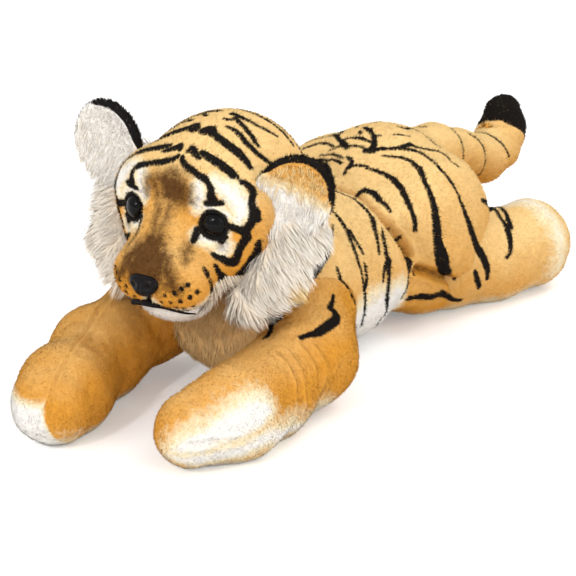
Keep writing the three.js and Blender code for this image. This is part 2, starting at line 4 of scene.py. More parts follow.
import bpy
import numpy as np
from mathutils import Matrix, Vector


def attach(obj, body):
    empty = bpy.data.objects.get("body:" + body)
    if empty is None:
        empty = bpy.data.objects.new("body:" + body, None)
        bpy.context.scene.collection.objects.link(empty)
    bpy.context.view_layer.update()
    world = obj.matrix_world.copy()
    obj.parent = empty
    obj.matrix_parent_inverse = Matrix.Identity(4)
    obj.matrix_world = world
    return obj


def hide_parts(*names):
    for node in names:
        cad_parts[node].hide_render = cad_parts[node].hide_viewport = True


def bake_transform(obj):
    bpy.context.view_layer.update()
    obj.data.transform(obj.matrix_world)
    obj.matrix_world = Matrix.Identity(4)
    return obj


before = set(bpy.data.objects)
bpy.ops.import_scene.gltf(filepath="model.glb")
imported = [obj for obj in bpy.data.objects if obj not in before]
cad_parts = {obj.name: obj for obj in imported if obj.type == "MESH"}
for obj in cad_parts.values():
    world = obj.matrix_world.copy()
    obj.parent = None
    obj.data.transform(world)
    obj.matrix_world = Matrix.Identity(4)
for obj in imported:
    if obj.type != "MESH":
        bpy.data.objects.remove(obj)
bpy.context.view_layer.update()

bl_info = {
    "name": "Plush tiger cub",
    "version": (1, 0, 0),
    "blender": (4, 5, 0),
    "location": "View3D > Sidebar > Tiger cub",
    "description": "Makes the stuffed parts, pile, print and face of a lying tiger cub",
    "category": "Object",
}

MM = 0.001

# Printed stripes of the torso and thighs: points in millimetres and the half width there.
BODY_STRIPES = {
    "big": ((26, 72, 156, 0.5), (39, 82, 153, 1.1), (48, 85, 151, 1.8), (60, 80, 148, 2.3), (72, 70, 141, 1.8),
        (81, 66, 131, 2.2), (87, 63, 120, 3.1), (91, 60, 108, 4.1), (94, 58, 94, 4.9), (95, 59, 85, 5.8),
        (96, 63, 74, 6), (97, 69, 64, 4.2), (97, 79, 54, 2.6), (97, 89, 46, 1.3)),
    "second": ((34, 90, 160, 1.4), (42, 100, 157, 1.8), (48, 103, 154, 1.5), (61, 99, 151, 1.1), (74, 95, 146, 1.1),
        (84, 96, 137, 1.5), (90, 97, 129, 1.2), (95, 97, 117, 1.4), (99, 100, 107, 2.6), (101, 105, 94, 3.7),
        (102, 115, 77, 4.1), (102, 125, 64, 3.9), (105, 130, 53, 3.4), (107, 133, 44, 1.9), (106, 133, 37, 0.9)),
    "spine_a": ((10, 69, 159, 2.3), (16, 72, 160, 3.2), (21, 77, 161, 1.7), (28, 83, 160, 1.4), (34, 91, 160, 1.7),
        (35, 98, 161, 2), (36, 104, 161, 1.9), (41, 107, 159, 1.1), (47, 115, 155, 1.7), (53, 124, 151, 1.5),
        (61, 123, 149, 1.1), (71, 119, 147, 0.9), (77, 124, 142, 0.7)),
    "spine_b": ((-12, 101, 170, 1.9), (-4, 97, 170, 2.8), (3, 91, 169, 1.4), (9, 85, 167, 1.8), (14, 77, 163, 2.3),
        (14, 72, 160, 2.8)),
    "spine_c": ((11, 92, 169, 0.9), (8, 88, 168, 1.4)),
    "rump_a": ((12, 123, 170, 1.1), (18, 127, 168, 1.5), (16, 143, 164, 1.2), (21, 150, 160, 1.7),
        (31, 148, 156, 1.7), (41, 142, 152, 1.4), (43, 147, 149, 0.8)),
    "rump_b": ((18, 151, 167, 0.6), (25, 154, 163, 0.9), (33, 157, 159, 0.6)),
    "rump_c": ((20, 102, 168, 0.5), (24, 108, 168, 0.7), (29, 114, 166, 0.5)),
    "rump_d": ((7, 142, 167, 0.6), (11, 148, 169, 1)),
    "thin_a": ((5, 52, 148, 1.4), (12, 55, 149, 0.9), (20, 58, 148, 0.5)),
    "third": ((19, 56, 147, 0.5), (28, 59, 145, 1.2), (36, 61, 142, 1.8), (45, 60, 139, 2.5), (57, 54, 136, 2.3),
        (67, 48, 130, 2.2), (74, 44, 121, 1.6), (79, 41, 112, 1.7), (81, 39, 106, 1.1)),
    "waist_blob": ((34, 21, 140, 1.1), (36, 31, 138, 3.1), (41, 34, 135, 3.8), (49, 32, 131, 2.2), (55, 32, 127, 1.5),
        (61, 30, 123, 0.9)),
    "waist_a": ((69, 22, 114, 0.6), (73, 15, 110, 1.6)),
    "waist_b": ((77, 27, 104, 0.9), (78, 22, 101, 1.8), (80, 23, 96, 1.2)),
    "flank_a": ((83, 27, 86, 0.9), (84, 27, 80, 3.9), (84, 26, 74, 3.4), (83, 25, 68, 2.3), (82, 26, 60, 1.8),
        (79, 26, 51, 1.1), (76, 28, 43, 0.6)),
    "flank_b": ((87, 39, 69, 0.9), (85, 38, 64, 0.7)),
    "under": ((77, 38, 42, 2.7), (82, 51, 39, 3.2), (87, 65, 36, 3.2), (90, 81, 32, 3.2), (87, 100, 23, 1.7),
        (90, 111, 21, 0.9)),
    "short": ((101, 116, 48, 1.5), (102, 119, 40, 2.2), (102, 125, 31, 1.9)),
    "rear_a": ((93, 140, 109, 1.4), (88, 165, 98, 3), (81, 187, 86, 1.9), (95, 175, 83, 1.1), (103, 171, 79, 1.4),
        (108, 168, 75, 2.5), (112, 165, 70, 2.5), (116, 161, 63, 1.3), (117, 157, 56, 0.9), (116, 153, 53, 0.6)),
    "rear_b": ((89, 168, 104, 0.8), (73, 210, 86, 1.2), (89, 193, 85, 1.2), (102, 180, 82, 1.5), (109, 173, 76, 1.7)),
    "side_a": ((-21, 80, 162, 0.6), (-12, 81, 165, 0.9), (-2, 81, 166, 2), (5, 80, 165, 1.1), (11, 80, 164, 1.1)),
    "side_b": ((-29, 69, 153, 0.6), (-16, 70, 158, 0.7), (-6, 71, 161, 0.8), (3, 72, 161, 0.6), (10, 70, 160, 0.9)),
    "side_c": ((-36, 66, 146, 0.6), (-22, 63, 151, 0.7), (-14, 60, 152, 0.9), (-7, 58, 152, 0.6)),
    "fork": ((-4, 59, 153, 0.9), (1, 58, 152, 1.7), (4, 56, 150, 1.4), (5, 51, 147, 1.6), (4, 46, 145, 0.9),
        (7, 37, 144, 0.5)),
    "neck": ((-36, 60, 141, 1.4), (-22, 51, 143, 2.8), (-10, 38, 144, 2.7), (8, 14, 147, 2.7), (13, 13, 146, 0.9)),
    "side_d": ((15, -1, 146, 0.9), (22, -8, 145, 1.3), (30, -5, 142, 0.7), (38, -2, 139, 1.1), (45, -1, 136, 1.8),
        (52, 0, 132, 2.8), (58, 0, 127, 2.5), (65, -6, 121, 1.9), (71, -10, 114, 1.2), (76, -13, 106, 1),
        (78, -16, 101, 0.7)),
    "side_e": ((37, -36, 137, 0.9), (45, -35, 133, 1.4), (52, -35, 128, 1.9), (58, -36, 123, 1.9),
        (63, -40, 117, 2.1), (69, -44, 110, 2.4), (73, -46, 104, 2.1), (76, -46, 97, 1.6), (78, -46, 89, 1.4),
        (80, -45, 79, 2.1), (80, -44, 72, 1.9), (79, -43, 63, 1.5), (77, -41, 53, 1), (74, -38, 44, 0.9),
        (71, -36, 39, 0.5)),
    "side_f": ((59, -33, 123, 1), (64, -34, 117, 1), (69, -34, 111, 1), (73, -34, 106, 0.7)),
    "side_g": ((76, -37, 98, 0.6), (78, -38, 92, 1.3), (80, -39, 85, 1.6), (80, -43, 78, 1.7)),
    "ruff_line": ((51, -54, 130, 0.3), (69, -81, 132, 0.8), (73, -88, 128, 1.3), (75, -96, 122, 2),
        (75, -103, 118, 2), (74, -111, 112, 1.9), (71, -117, 105, 1.8), (68, -122, 98, 1.7), (64, -126, 93, 1.5),
        (60, -129, 89, 1.2)),
    "arm_line": ((60, -129, 83, 1.3), (64, -126, 88, 1.5), (68, -124, 90, 0.7)),
    "flank_c": ((68, 4, 117, 0.5), (72, -3, 112, 1.1), (77, -6, 104, 1.3), (80, -8, 98, 1.8), (82, -7, 91, 2.5),
        (84, -9, 84, 2.3), (84, -10, 75, 1.9), (84, -10, 66, 2.1), (82, -9, 57, 2.3), (80, -5, 50, 2),
        (76, 0, 42, 1.1), (70, 8, 32, 0.7)),
    "flank_d": ((82, -11, 92, 1.3), (83, -16, 84, 1.6), (84, -18, 77, 0.7)),
    "flank_e": ((72, 0, 35, 0.5), (67, 3, 28, 0.9), (61, 7, 18, 1.3)),
    "flank_f": ((72, -46, 44, 0.6), (67, -43, 36, 1.2)),
    "flank_g": ((82, -91, 112, 0.7), (84, -90, 106, 1.3), (86, -90, 99, 1.6), (87, -90, 92, 1.2), (88, -90, 85, 0.8),
        (88, -88, 79, 0.5)),
    "shoulder_arc": ((96, -113, 98, 0.8), (97, -117, 95, 1.3), (97, -123, 91, 1.6), (97, -125, 89, 1.6),
        (100, -124, 86, 2), (102, -125, 82, 2.5), (103, -130, 79, 3), (102, -137, 77, 3.3), (99, -150, 73, 2.4),
        (93, -164, 72, 1)),
    "bib_edge": ((69, -178, 73, 1.6), (62, -155, 74, 1.8), (69, -150, 81, 0.8)),
}

# Printed marks of the head, and the dark embroidery about the eyes and the mouth.
FACE_STRIPES = {
    "brow": ((2, -196, 220, 0.8), (5, -199, 217, 1.3), (13, -203, 215, 1.5), (21, -205, 213, 1.2),
        (27, -207, 212, 1.3), (33, -207, 210, 1.3), (37, -208, 207, 0.9), (39, -208, 203, 1.3), (39, -208, 198, 2.5),
        (40, -207, 195, 3.1)),
    "brow_foot": ((34, -208, 192, 1.1), (40, -206, 193, 1.7), (46, -204, 193, 1.3)),
    "dash": ((16, -188, 224, 1.2), (23, -190, 222, 2.5), (32, -191, 219, 3.3), (41, -192, 216, 3.3),
        (48, -192, 212, 2.5), (51, -191, 210, 0.9)),
    "mid_mark": ((4, -191, 224, 0.6), (6, -188, 226, 2.1), (11, -191, 223, 1.7), (18, -195, 221, 0.6)),
    "bow": ((5, -170, 236, 3.7), (8, -167, 237, 4.2), (14, -170, 235, 2.4)),
    "crown": ((14, -170, 235, 2.1), (23, -171, 231, 2.5), (31, -171, 227, 2.9), (38, -170, 223, 2.9),
        (45, -171, 217, 2.9), (51, -174, 213, 1.6)),
    "crown_b": ((18, -156, 238, 0.6), (23, -155, 237, 1.1), (30, -156, 234, 1.5), (37, -158, 229, 1.5),
        (42, -157, 224, 1.5), (47, -156, 220, 1.1), (52, -152, 215, 0.8), (54, -150, 213, 0.5)),
    "crown_c": ((15, -141, 241, 1.6), (22, -144, 239, 1.5), (29, -146, 236, 1.4), (35, -148, 232, 1.1),
        (41, -150, 227, 0.8), (43, -150, 225, 0.5)),
    "crown_d": ((8, -134, 243, 2.4), (15, -135, 241, 2), (23, -134, 239, 1.3), (30, -132, 235, 0.9),
        (37, -127, 231, 0.6), (42, -122, 227, 0.4)),
    "crown_e": ((9, -148, 242, 0.6), (13, -146, 241, 0.8)),
    "outer": ((50, -203, 175, 1.4), (53, -202, 174, 1.7), (59, -200, 172, 1.9), (63, -198, 171, 2.7),
        (65, -197, 173, 2.4), (68, -195, 178, 2.4), (69, -193, 185, 2.5), (67, -193, 191, 1.7), (66, -192, 195, 1.2),
        (65, -189, 199, 1.6), (62, -188, 203, 1.8), (58, -189, 206, 1.3), (55, -191, 207, 0.7)),
    "outer_blob": ((68, -193, 190, 1.3), (70, -192, 185, 2.5), (71, -192, 181, 1.9)),
    "cheek": ((63, -197, 171, 2.5), (64, -196, 166, 2.5), (61, -197, 160, 2.1), (58, -198, 155, 1.8),
        (56, -198, 149, 1.9), (53, -199, 144, 2.7), (50, -202, 144, 2.4), (46, -205, 147, 1.7), (42, -207, 148, 1.4),
        (40, -209, 150, 0.8)),
    "arc": ((69, -188, 161, 0.8), (67, -187, 153, 2.5), (64, -189, 145, 2.7), (60, -191, 138, 2.5),
        (55, -193, 132, 1.8), (49, -194, 127, 1.3), (45, -199, 129, 1.4), (43, -204, 132, 1.9), (43, -209, 137, 1.4),
        (42, -210, 141, 0.7)),
    "arc_b": ((43, -206, 131, 1.4), (41, -205, 125, 0.6)),
    "hook": ((48, -195, 128, 0.8), (45, -190, 123, 1.1), (38, -182, 114, 2.3), (38, -186, 112, 1.6),
        (42, -200, 114, 1)),
    "lip_a": ((44, -219, 131, 0.6), (44, -217, 124, 1), (40, -214, 116, 0.8), (40, -215, 113, 0.5)),
    "lip_b": ((40, -221, 141, 0.7), (42, -220, 136, 1)),
    "lash": ((46, -205, 162, 1.7), (49, -204, 165, 1.3)),
    "mouth": ((-20, -237, 104, 1), (-17, -234, 106, 1.5), (-9, -235, 108, 1.7), (-1, -236, 109, 1.6),
        (6, -237, 110, 1.7), (11, -233, 107, 1.2), (20, -232, 105, 0.7), (27, -228, 103, 0.4), (35, -224, 103, 0.3)),
    "nose_line": ((4, -244, 121, 1.2), (2, -242, 116, 1), (-5, -234, 108, 1)),
    "tear": ((31, -209, 170, 1.4), (27, -211, 168, 2), (26, -213, 164, 1.9), (26, -216, 160, 0.9)),
}
FACE_SPOTS = (
    (36, -237, 132, 0.8), (32, -240, 129, 0.4), (27, -243, 125, 0.8), (19, -244, 122, 0.4), (37, -236, 122, 0.9),
    (41, -232, 126, 0.7), (30, -239, 118, 0.5), (22, -241, 116, 0.4), (13, -241, 115, 0.1), (29, -234, 110, 0.3),
    (24, -236, 111, 0.1), (36, -230, 112, 0.4), (18, -237, 110, 0.1),
)

# Printed bands of the tail.
TAIL_STRIPES = {
    "t1": ((9, 229, 143, 0.8), (17, 227, 139, 1.4), (21, 228, 132, 1.5), (24, 229, 124, 1.5), (24, 229, 117, 1.3),
        (22, 229, 109, 1.5), (20, 231, 105, 1.2)),
    "t2": ((13, 262, 130, 0.7), (17, 269, 124, 1), (21, 274, 118, 1.2), (23, 276, 110, 1), (23, 279, 102, 1),
        (21, 281, 95, 0.8)),
    "t3": ((0, 319, 115, 0.7), (9, 320, 113, 0.8), (16, 322, 108, 0.8), (20, 326, 102, 0.8), (22, 330, 93, 0.6)),
}

# White patches of the face.
FACE_PALE = {
    "brow": ((39, -205, 210, 2), (46, -203, 205, 3.9), (53, -200, 199, 6.3), (59, -198, 193, 7),
        (62, -198, 186, 5.5), (59, -200, 180, 3.1)),
    "inner": ((29, -210, 206, 2.7), (30, -211, 199, 3.5), (27, -209, 188, 3.2)),
    "over_eye": ((33, -208, 189, 2), (40, -206, 189, 2), (46, -204, 188, 2.4), (51, -203, 183, 2.4)),
    "under": ((27, -212, 164, 1.4), (32, -210, 162, 1.7), (38, -208, 161, 1.7), (43, -205, 164, 1.7),
        (48, -204, 170, 1.7)),
    "muzzle": ((38, -200, 122, 4), (41, -211, 116, 4.8), (39, -218, 110, 4.4), (32, -226, 104, 3.6),
        (22, -233, 100, 3.2)),
    "under_nose": ((2, -240, 114, 2), (-4, -232, 105, 2)),
    "cheek": ((49, -203, 158, 2.4), (46, -205, 154, 2.4)),
}

# Mottled brown patches of the face.
FACE_BROWN = {
    "forehead": ((-5, -210, 203, 9), (3, -211, 199, 13), (12, -212, 196, 11)),
    "brow": ((1, -205, 209, 4), (20, -211, 201, 4), (22, -211, 192, 3.4)),
    "brow_side": ((-14, -211, 204, 3), (-12, -212, 196, 4), (-8, -213, 190, 3)),
    "bridge": ((5, -218, 184, 3), (4, -224, 173, 2), (2, -230, 163, 4)),
    "snout": ((-1, -233, 158, 11), (3, -241, 147, 16), (5, -245, 137, 15)),
    "snout_left": ((-12, -234, 152, 7), (-18, -239, 143, 8), (-22, -240, 136, 6)),
    "snout_right": ((16, -238, 150, 5), (19, -241, 141, 7), (24, -242, 134, 6)),
    "snout_side": ((22, -243, 133, 6.3), (30, -241, 128, 4.7)),
    "inner_eye": ((25, -219, 158, 2.4), (26, -225, 154, 3.5), (28, -231, 148, 2.4)),
    "under_eye": ((46, -205, 158, 2.4),),
}

# White patches of the left paw.
PAW_PALE = {
    "paw_side": ((74, -311, 27, 6.1), (86, -304, 33, 9.1), (96, -289, 36, 13), (108, -271, 44, 15.3),
        (116, -259, 50, 13.8), (120, -248, 50, 9.3)),
    "paw_under": ((66, -310, 16, 6.1), (88, -295, 18, 9), (106, -267, 20, 10), (119, -247, 28, 9),
        (112, -191, 14, 6.4), (107, -147, 10, 6.6)),
}

# Folds of the torso, at the waist and about the haunch.
TORSO_FOLDS = {
    "waist": ((9, 6, 147, 1.8), (24, 13, 144, 1.8), (38, 16, 139, 1.8), (52, 18, 131, 1.8), (63, 18, 122, 1.8),
        (72, 20, 111, 1.8), (79, 24, 99, 1.8), (83, 28, 87, 1.8)),
    "haunch": ((87, 39, 70, 1.8), (93, 58, 60, 1.8), (96, 81, 48, 1.8), (96, 112, 29, 1.9)),
}

# Creases of the left elbow and the seam about the left paw's sole.
LEFT_SEAMS = {
    "elbow_a": ((93, -191, 72, 1.6), (103, -193, 67, 1.6), (112, -196, 57, 1.6), (117, -201, 44, 1.6),
        (117, -203, 32, 1.6)),
    "elbow_b": ((97, -166, 71, 1.6), (107, -167, 62, 1.6), (113, -168, 51, 1.6), (116, -173, 42, 1.6)),
    "elbow_c": ((103, -156, 69, 1.6), (111, -154, 60, 1.6), (115, -154, 52, 1.6)),
    "sole": ((86, -304, 32, 0.8), (92, -295, 33, 0.8), (97, -286, 32, 0.8), (102, -277, 30, 0.8),
        (108, -269, 30, 0.8)),
}

# The sewn seam along the right foreleg and round its paw.
RIGHT_SEAMS = {
    "seam_top": ((-84, -180, 75, 0.9), (-76, -212, 73, 0.8), (-59, -255, 78, 0.8), (-43, -289, 80, 0.8),
        (-38, -305, 74, 0.8), (-33, -319, 68, 0.8), (-31, -327, 60, 0.8), (-30, -332, 52, 0.8), (-33, -337, 40, 0.8),
        (-40, -336, 23, 0.8)),
}

# The pale patch of a hind foot.
FOOT_PALE = {
    "foot_pale": ((76, 200, 90, 3), (87, 226, 88, 5), (107, 224, 86, 5), (123, 221, 80, 5), (135, 219, 70, 5),
        (142, 217, 56, 5), (143, 217, 41, 4), (139, 217, 26, 3)),
}

# Bars that the photograph doesn't show, in the way of those that it does: the nape and behind the ears,
# the shoulders and the rump, and the tail's far side and underside.
NAPE_STRIPES = {
    "nape_a": ((0, -112, 243, 1.8), (18, -110, 239, 2.4), (34, -106, 230, 2.2), (46, -104, 216, 1.2)),
    "nape_b": ((3, -92, 236, 1.2), (20, -90, 232, 2.2), (38, -88, 222, 2.4), (52, -88, 204, 1.6)),
    "nape_c": ((0, -74, 222, 1.6), (17, -73, 219, 2.2), (34, -73, 209, 2.4), (47, -74, 194, 1.4)),
    "nape_d": ((2, -64, 204, 1.2), (18, -64, 201, 2), (34, -66, 190, 1.8), (43, -68, 178, 1)),
    "behind_ear": ((62, -110, 205, 1), (66, -104, 188, 2), (66, -100, 170, 2.2), (62, -98, 154, 1.2)),
}
SHOULDER_STRIPES = {
    "shoulder_a": ((4, -52, 140, 1.2), (22, -56, 137, 2), (40, -62, 128, 2.4), (56, -70, 117, 1.6)),
    "shoulder_b": ((6, -34, 143, 1), (20, -40, 141, 1.8), (34, -50, 135, 1.4)),
    "rump_bar_a": ((20, 172, 148, 1), (38, 166, 146, 2), (56, 160, 138, 2.2), (72, 158, 124, 1.4)),
    "rump_bar_b": ((40, 182, 126, 1), (58, 176, 120, 2), (74, 170, 110, 1.8)),
}
TAIL_BARS = {
    "bar_a": ((0, 196, 152, 1), (-14, 196, 147, 1.6), (-22, 198, 134, 1.8), (-24, 200, 122, 1.2)),
    "bar_b": ((0, 292, 118, 1), (-12, 294, 114, 1.4), (-20, 298, 104, 1.4), (-20, 302, 94, 1)),
    "bar_c": ((20, 230, 104, 1.4), (12, 232, 96, 1.6), (0, 232, 93, 1.4)),
    "bar_d": ((20, 281, 94, 1.2), (12, 282, 84, 1.4), (0, 282, 80, 1.2)),
}

# The embroidered mouth's line.
MOUTH_LINE = (
    (-20, -238, 105), (-15, -238.5, 107.5), (-8, -241, 109.5), (0, -243, 110.5), (6, -242, 110),
    (11, -237, 108), (20, -234, 106), (28, -230, 104), (35, -225.5, 103.5),
)

# Lobes of the torso: side, along, up, then half width, half length and half height, as shares of its sizes.
TORSO_LOBES = (
    (0, 0.165, 0.45, 0.55, 0.155, 0.42),
    (0, 0.25, 0.6, 0.44, 0.15, 0.29),
    (0, 0.44, 0.42, 0.73, 0.37, 0.42),
    (0, 0.76, 0.5, 0.66, 0.24, 0.48),
)
TORSO_PAIRS = ((0.51, 0.735, 0.45, 0.37, 0.235, 0.41), (0.42, 0.2, 0.46, 0.34, 0.13, 0.34))
TORSO_SPINE = ((0.2, 0.46), (0.5, 0.46), (0.78, 0.48))
TORSO_BLEND = 20
CHEST_REACH = 155

# Lobes of the head about the middle of the skull, in the same order.
HEAD_LOBES = (
    (0, -0.01, 0, 0.95, 0.47, 0.5), (0, -0.37, -0.13, 0.34, 0.19, 0.2), (0, -0.43, -0.3, 0.55, 0.22, 0.2),
)
HEAD_PAIRS = (
    (0.52, -0.17, -0.2, 0.5, 0.25, 0.27),
    (0.4, -0.35, 0.2, 0.3, 0.1, 0.1),
    (0.26, -0.53, -0.38, 0.36, 0.12, 0.15),
    (0.68, -0.26, 0.03, 0.41, 0.14, 0.22),
)
SKULL = np.array([0.0, -135.0, 176.0])
HEAD_BLEND = 16
CHIN_PLACE = np.array([0.0, -205.0, 107.0])
CHIN_HALF = np.array([34.0, 28.0, 21.0])

# Rows of a foreleg: across, forward, thickness and lift, as shares.
LEFT_FORELEG = (
    (0.8, 0, 0.94, 0.9), (1, 0.14, 1, 0.2), (1.02, 0.44, 0.9, 0), (1.04, 0.67, 0.9, 0), (0.85, 0.86, 0.79, 0),
)
RIGHT_FORELEG = (
    (-0.78, 0, 0.92, 0.85), (-0.98, 0.17, 0.98, 0.3), (-0.98, 0.54, 0.96, 0.04), (-0.71, 0.88, 0.9, 0),
    (-0.63, 1, 0.84, 0),
)
FORELEG_SPREAD = 80
FORELEG_REACH = 200
SHOULDER_FORWARD = 105

# Rows of a hind leg: outward and thickness, and rows of the tail: backward, rise and thickness, as shares.
HIND_ROWS = ((0, 0.92), (0.5, 0.92), (1, 1))
HIND_APART = 132
HIND_REACH = 94
HIND_SPLAY = 22
HIP_ALONG = 0.83
LIMB_BLEND = 6
TAIL_ROWS = (
    (0, 0, 1.04), (0.28, -0.12, 0.96), (0.54, -0.5, 0.88), (0.8, -0.9, 0.84), (0.97, -0.8, 0.8),
    (1.04, -0.36, 0.74), (1.04, 0.06, 0.66),
)
TAIL_ROOT = (0.88, 0.73)
TAIL_REACH = 200
TAIL_SAG = 42
TAIL_BLEND = 12
FLOOR_FLAT = 0.5

# Ears: places in millimetres from the skull, turns in degrees, and where the left's, 1, and the right's,
# -1, black rim starts: two shares and a height. The profile is a share of the oval and a depth.
EAR_FORWARD = 34
EAR_OUT = {1: 90, -1: 95}
EAR_RISE = {1: 20, -1: 35}
EAR_ROLL = {1: 40, -1: 22}
EAR_YAW = {1: 20, -1: -4}
EAR_RIM = {1: (-0.31, 0.95, 5), -1: (0.84, 0.54, 14)}
EAR_SHARES = np.array([0, 0.35, 0.62, 0.8, 0.91, 0.98, 1.0, 0.97, 0.86, 0.66, 0.38, 0])
EAR_DEPTHS = np.array([1.0, 0.2, -2.0, -4.4, -5.6, -4.0, -0.5, 3.6, 6.8, 9.2, 10.6, 11.0])
EAR_RIM_AT = 6 / 11
EAR_ROUND = 90

# Ruffs and bib: rows of a ruff's backing across, along, up and thick, as shares of its spans.
RUFF_ROWS = ((1.08, 0, 0.12, 0.7), (1.2, -0.2, -0.16, 1), (1.13, -0.38, -0.45, 0.95), (0.86, -0.52, -0.68, 0.8))
RUFF_OUT = 70
RUFF_SPAN = 100
RUFF_RADIUS = 17
RUFF_FLARE = {1: 0, -1: 7}
BIB_PLACE = np.array([0.0, -135.0, 60.0])
BIB_HALF = np.array([59.0, 32.0, 44.0])

# Face, in millimetres and degrees: the eyes' seats and the hollows about them, the cleft under the nose,
# the place that the pile parts from, and the corners of the jaw. Then the plane of the tail's black tip.
EYE_APART = 80
EYE_SPLAY = 26
EYE_DROP = 2
EYE_SEAT = 0.8
EYE_WALL = 3.0
EYE_SKY = 0.04
EYE_RIM = (-206, 11.6)
HOLLOW_FRONT, HOLLOW_DEPTH, HOLLOW_WIDTH = -205, 1.6, 15
CLEFT = {"cleft": ((0, -246, 120, 0), (0, -240, 108, 0))}
NOSE_PLACE = np.array([0.0, -246.0, 128.0])
NOSE_TILT = 12
PARTING_PLACE = np.array([0, -252.0, 130.0])
JAW_CORNER = np.array([-199, 114])
JAW_OUT, JAW_REACH, JAW_WIDTH = 46, 19, 18
TIP_PLACE = np.array([3.0, 342.0, 123.0])
TIP_WAY = np.array([-0.15, 0.68, 0.72])
TIP_FROM = 330

# The covers' seams: joints, near which the limbs' covers are held, bends that go with the joins, and where the hind
# feet are held.
NECK_BEND = ((0, -62, 130), (0, -96, 140))
SHOULDER_JOINT = {1: (64, -105, 78.9), -1: (-64, -105, 78.8)}
SHOULDER_BEND = (6, -38, 0)
HIP_JOINT = (66, 137.2, 42.4)
HIP_BEND = 42
HIND_HOLD = {"sole": ((150, 240, 20, 1),)}
TAIL_JOINT = (0, 154.8, 128.5)
TAIL_BEND = (0, 40, -6)
EAR_JOINT = {1: (74, -172, 178), -1: (-85.3, -168.3, 186.9)}
EAR_BEND = (8, 16)

# Print: how far along the normal a stroke reaches, the least side of strokes that are laid on both sides,
# how many points are measured at once, and the ends of the fields.
PRINT_DEPTH = 14.0
PRINT_MIDDLE = -3
PRINT_CHUNK = 6000
PRINT_LOW, PRINT_HIGH = -30, 40
BELLY_LIMIT = 20
FLANK_LIMIT = 44
NO_MARK = 9.0

# Short pile: shares of the normal, the nap and chance in a tuft's way, and what each tuft is made of.
TUFT_UP, TUFT_NAP, TUFT_STRAY = 0.62, 0.75, 0.22
TUFT_LENGTHS, TUFT_WIDTHS = (0.7, 1.2), (0.8, 1.2)
TUFT_FOOT, TUFT_FLOOR, TUFT_ROUND, TUFT_SLIM = 0.6, 0.15, 0.12, 0.32
TUFT_FACES = ((0, 1, 3), (1, 2, 3), (2, 0, 3), (2, 1, 0))

# Long pile, in the same way, with how much locks bend, gather in clumps and lie flat.
LOCK_NAP, LOCK_STRAY, LOCK_LENGTHS = 0.85, 0.15, (0.65, 1.15)
LOCK_BEND, LOCK_GATHER, LOCK_CLUMP, LOCK_FLAT = 0.35, 0.45, 12, 0.4
LOCK_MIDDLE, LOCK_EARLY, LOCK_TURN = 0.55, 0.2, 0.2
LOCK_FOOT, LOCK_FLOOR, LOCK_ROUND, LOCK_SKY = 1.0, 0.3, 0.2, 0.25
LOCK_ROWS = ((0, 1.0), (0.35, 0.85), (0.7, 0.5))

# Cloth that stuffs a cover.
CLOTH_EVERY = 4
CLOTH_FRAMES = 20
CLOTH_LEVELS = 10
CLOTH_SETTINGS = dict(
    quality=4, mass=0.3, tension_stiffness=15, compression_stiffness=15, shear_stiffness=5,
    bending_stiffness=0.4, use_pressure=True, uniform_pressure_force=4.0, pin_stiffness=1,
)
FILLET_ROUNDS = 30
FLOOR_GAP = 0.1

# Bumps in metres, and how strongly surfaces bend light.
FUR_BUMP, PEEL_BUMP, THREAD_BUMP = 0.0002, 0.00003, 0.0003
SURFACE_IOR = 1.45

# The stage: lamps by place, watts, size and colour, the camera's turn and place, and the surround's light.
LAMPS = {
    "overhead softbox": ((0.75, 0.6, 1.55), 8.0, 0.8, (1.0, 0.99, 0.975)),
    "key softbox": ((-0.2, -2.1, 1.35), 7.0, 1.0, (1.0, 0.985, 0.965)),
    "catch light": ((0.15, -1.9, 1.25), 10.0, 0.16, (1.0, 1.0, 1.0)),
    "side fill": ((1.9, -0.6, 1.1), 9.0, 1.4, (1.0, 0.99, 0.98)),
}
LOOK_AT = (0.0, -0.043, 0.060)
CAMERA_AZIMUTH, CAMERA_ELEVATION, CAMERA_DISTANCE = 34, 21, 1.6
CAMERA_LENS, CAMERA_SENSOR, CAMERA_NEAR = 112, 36, 0.05
STUDIO_LIGHT = 0.82
FLOOR_REACH = 4000.0


def length_property(name, text, default):
    """A property that holds a length in metres."""
    return bpy.props.FloatProperty(name=name, description=text, default=default, min=0.0001, unit="LENGTH")


def colour_property(name, text, default):
    """A property that holds a colour."""
    return bpy.props.FloatVectorProperty(
        name=name, description=text, default=default, size=3, min=0, max=1, subtype="COLOR"
    )


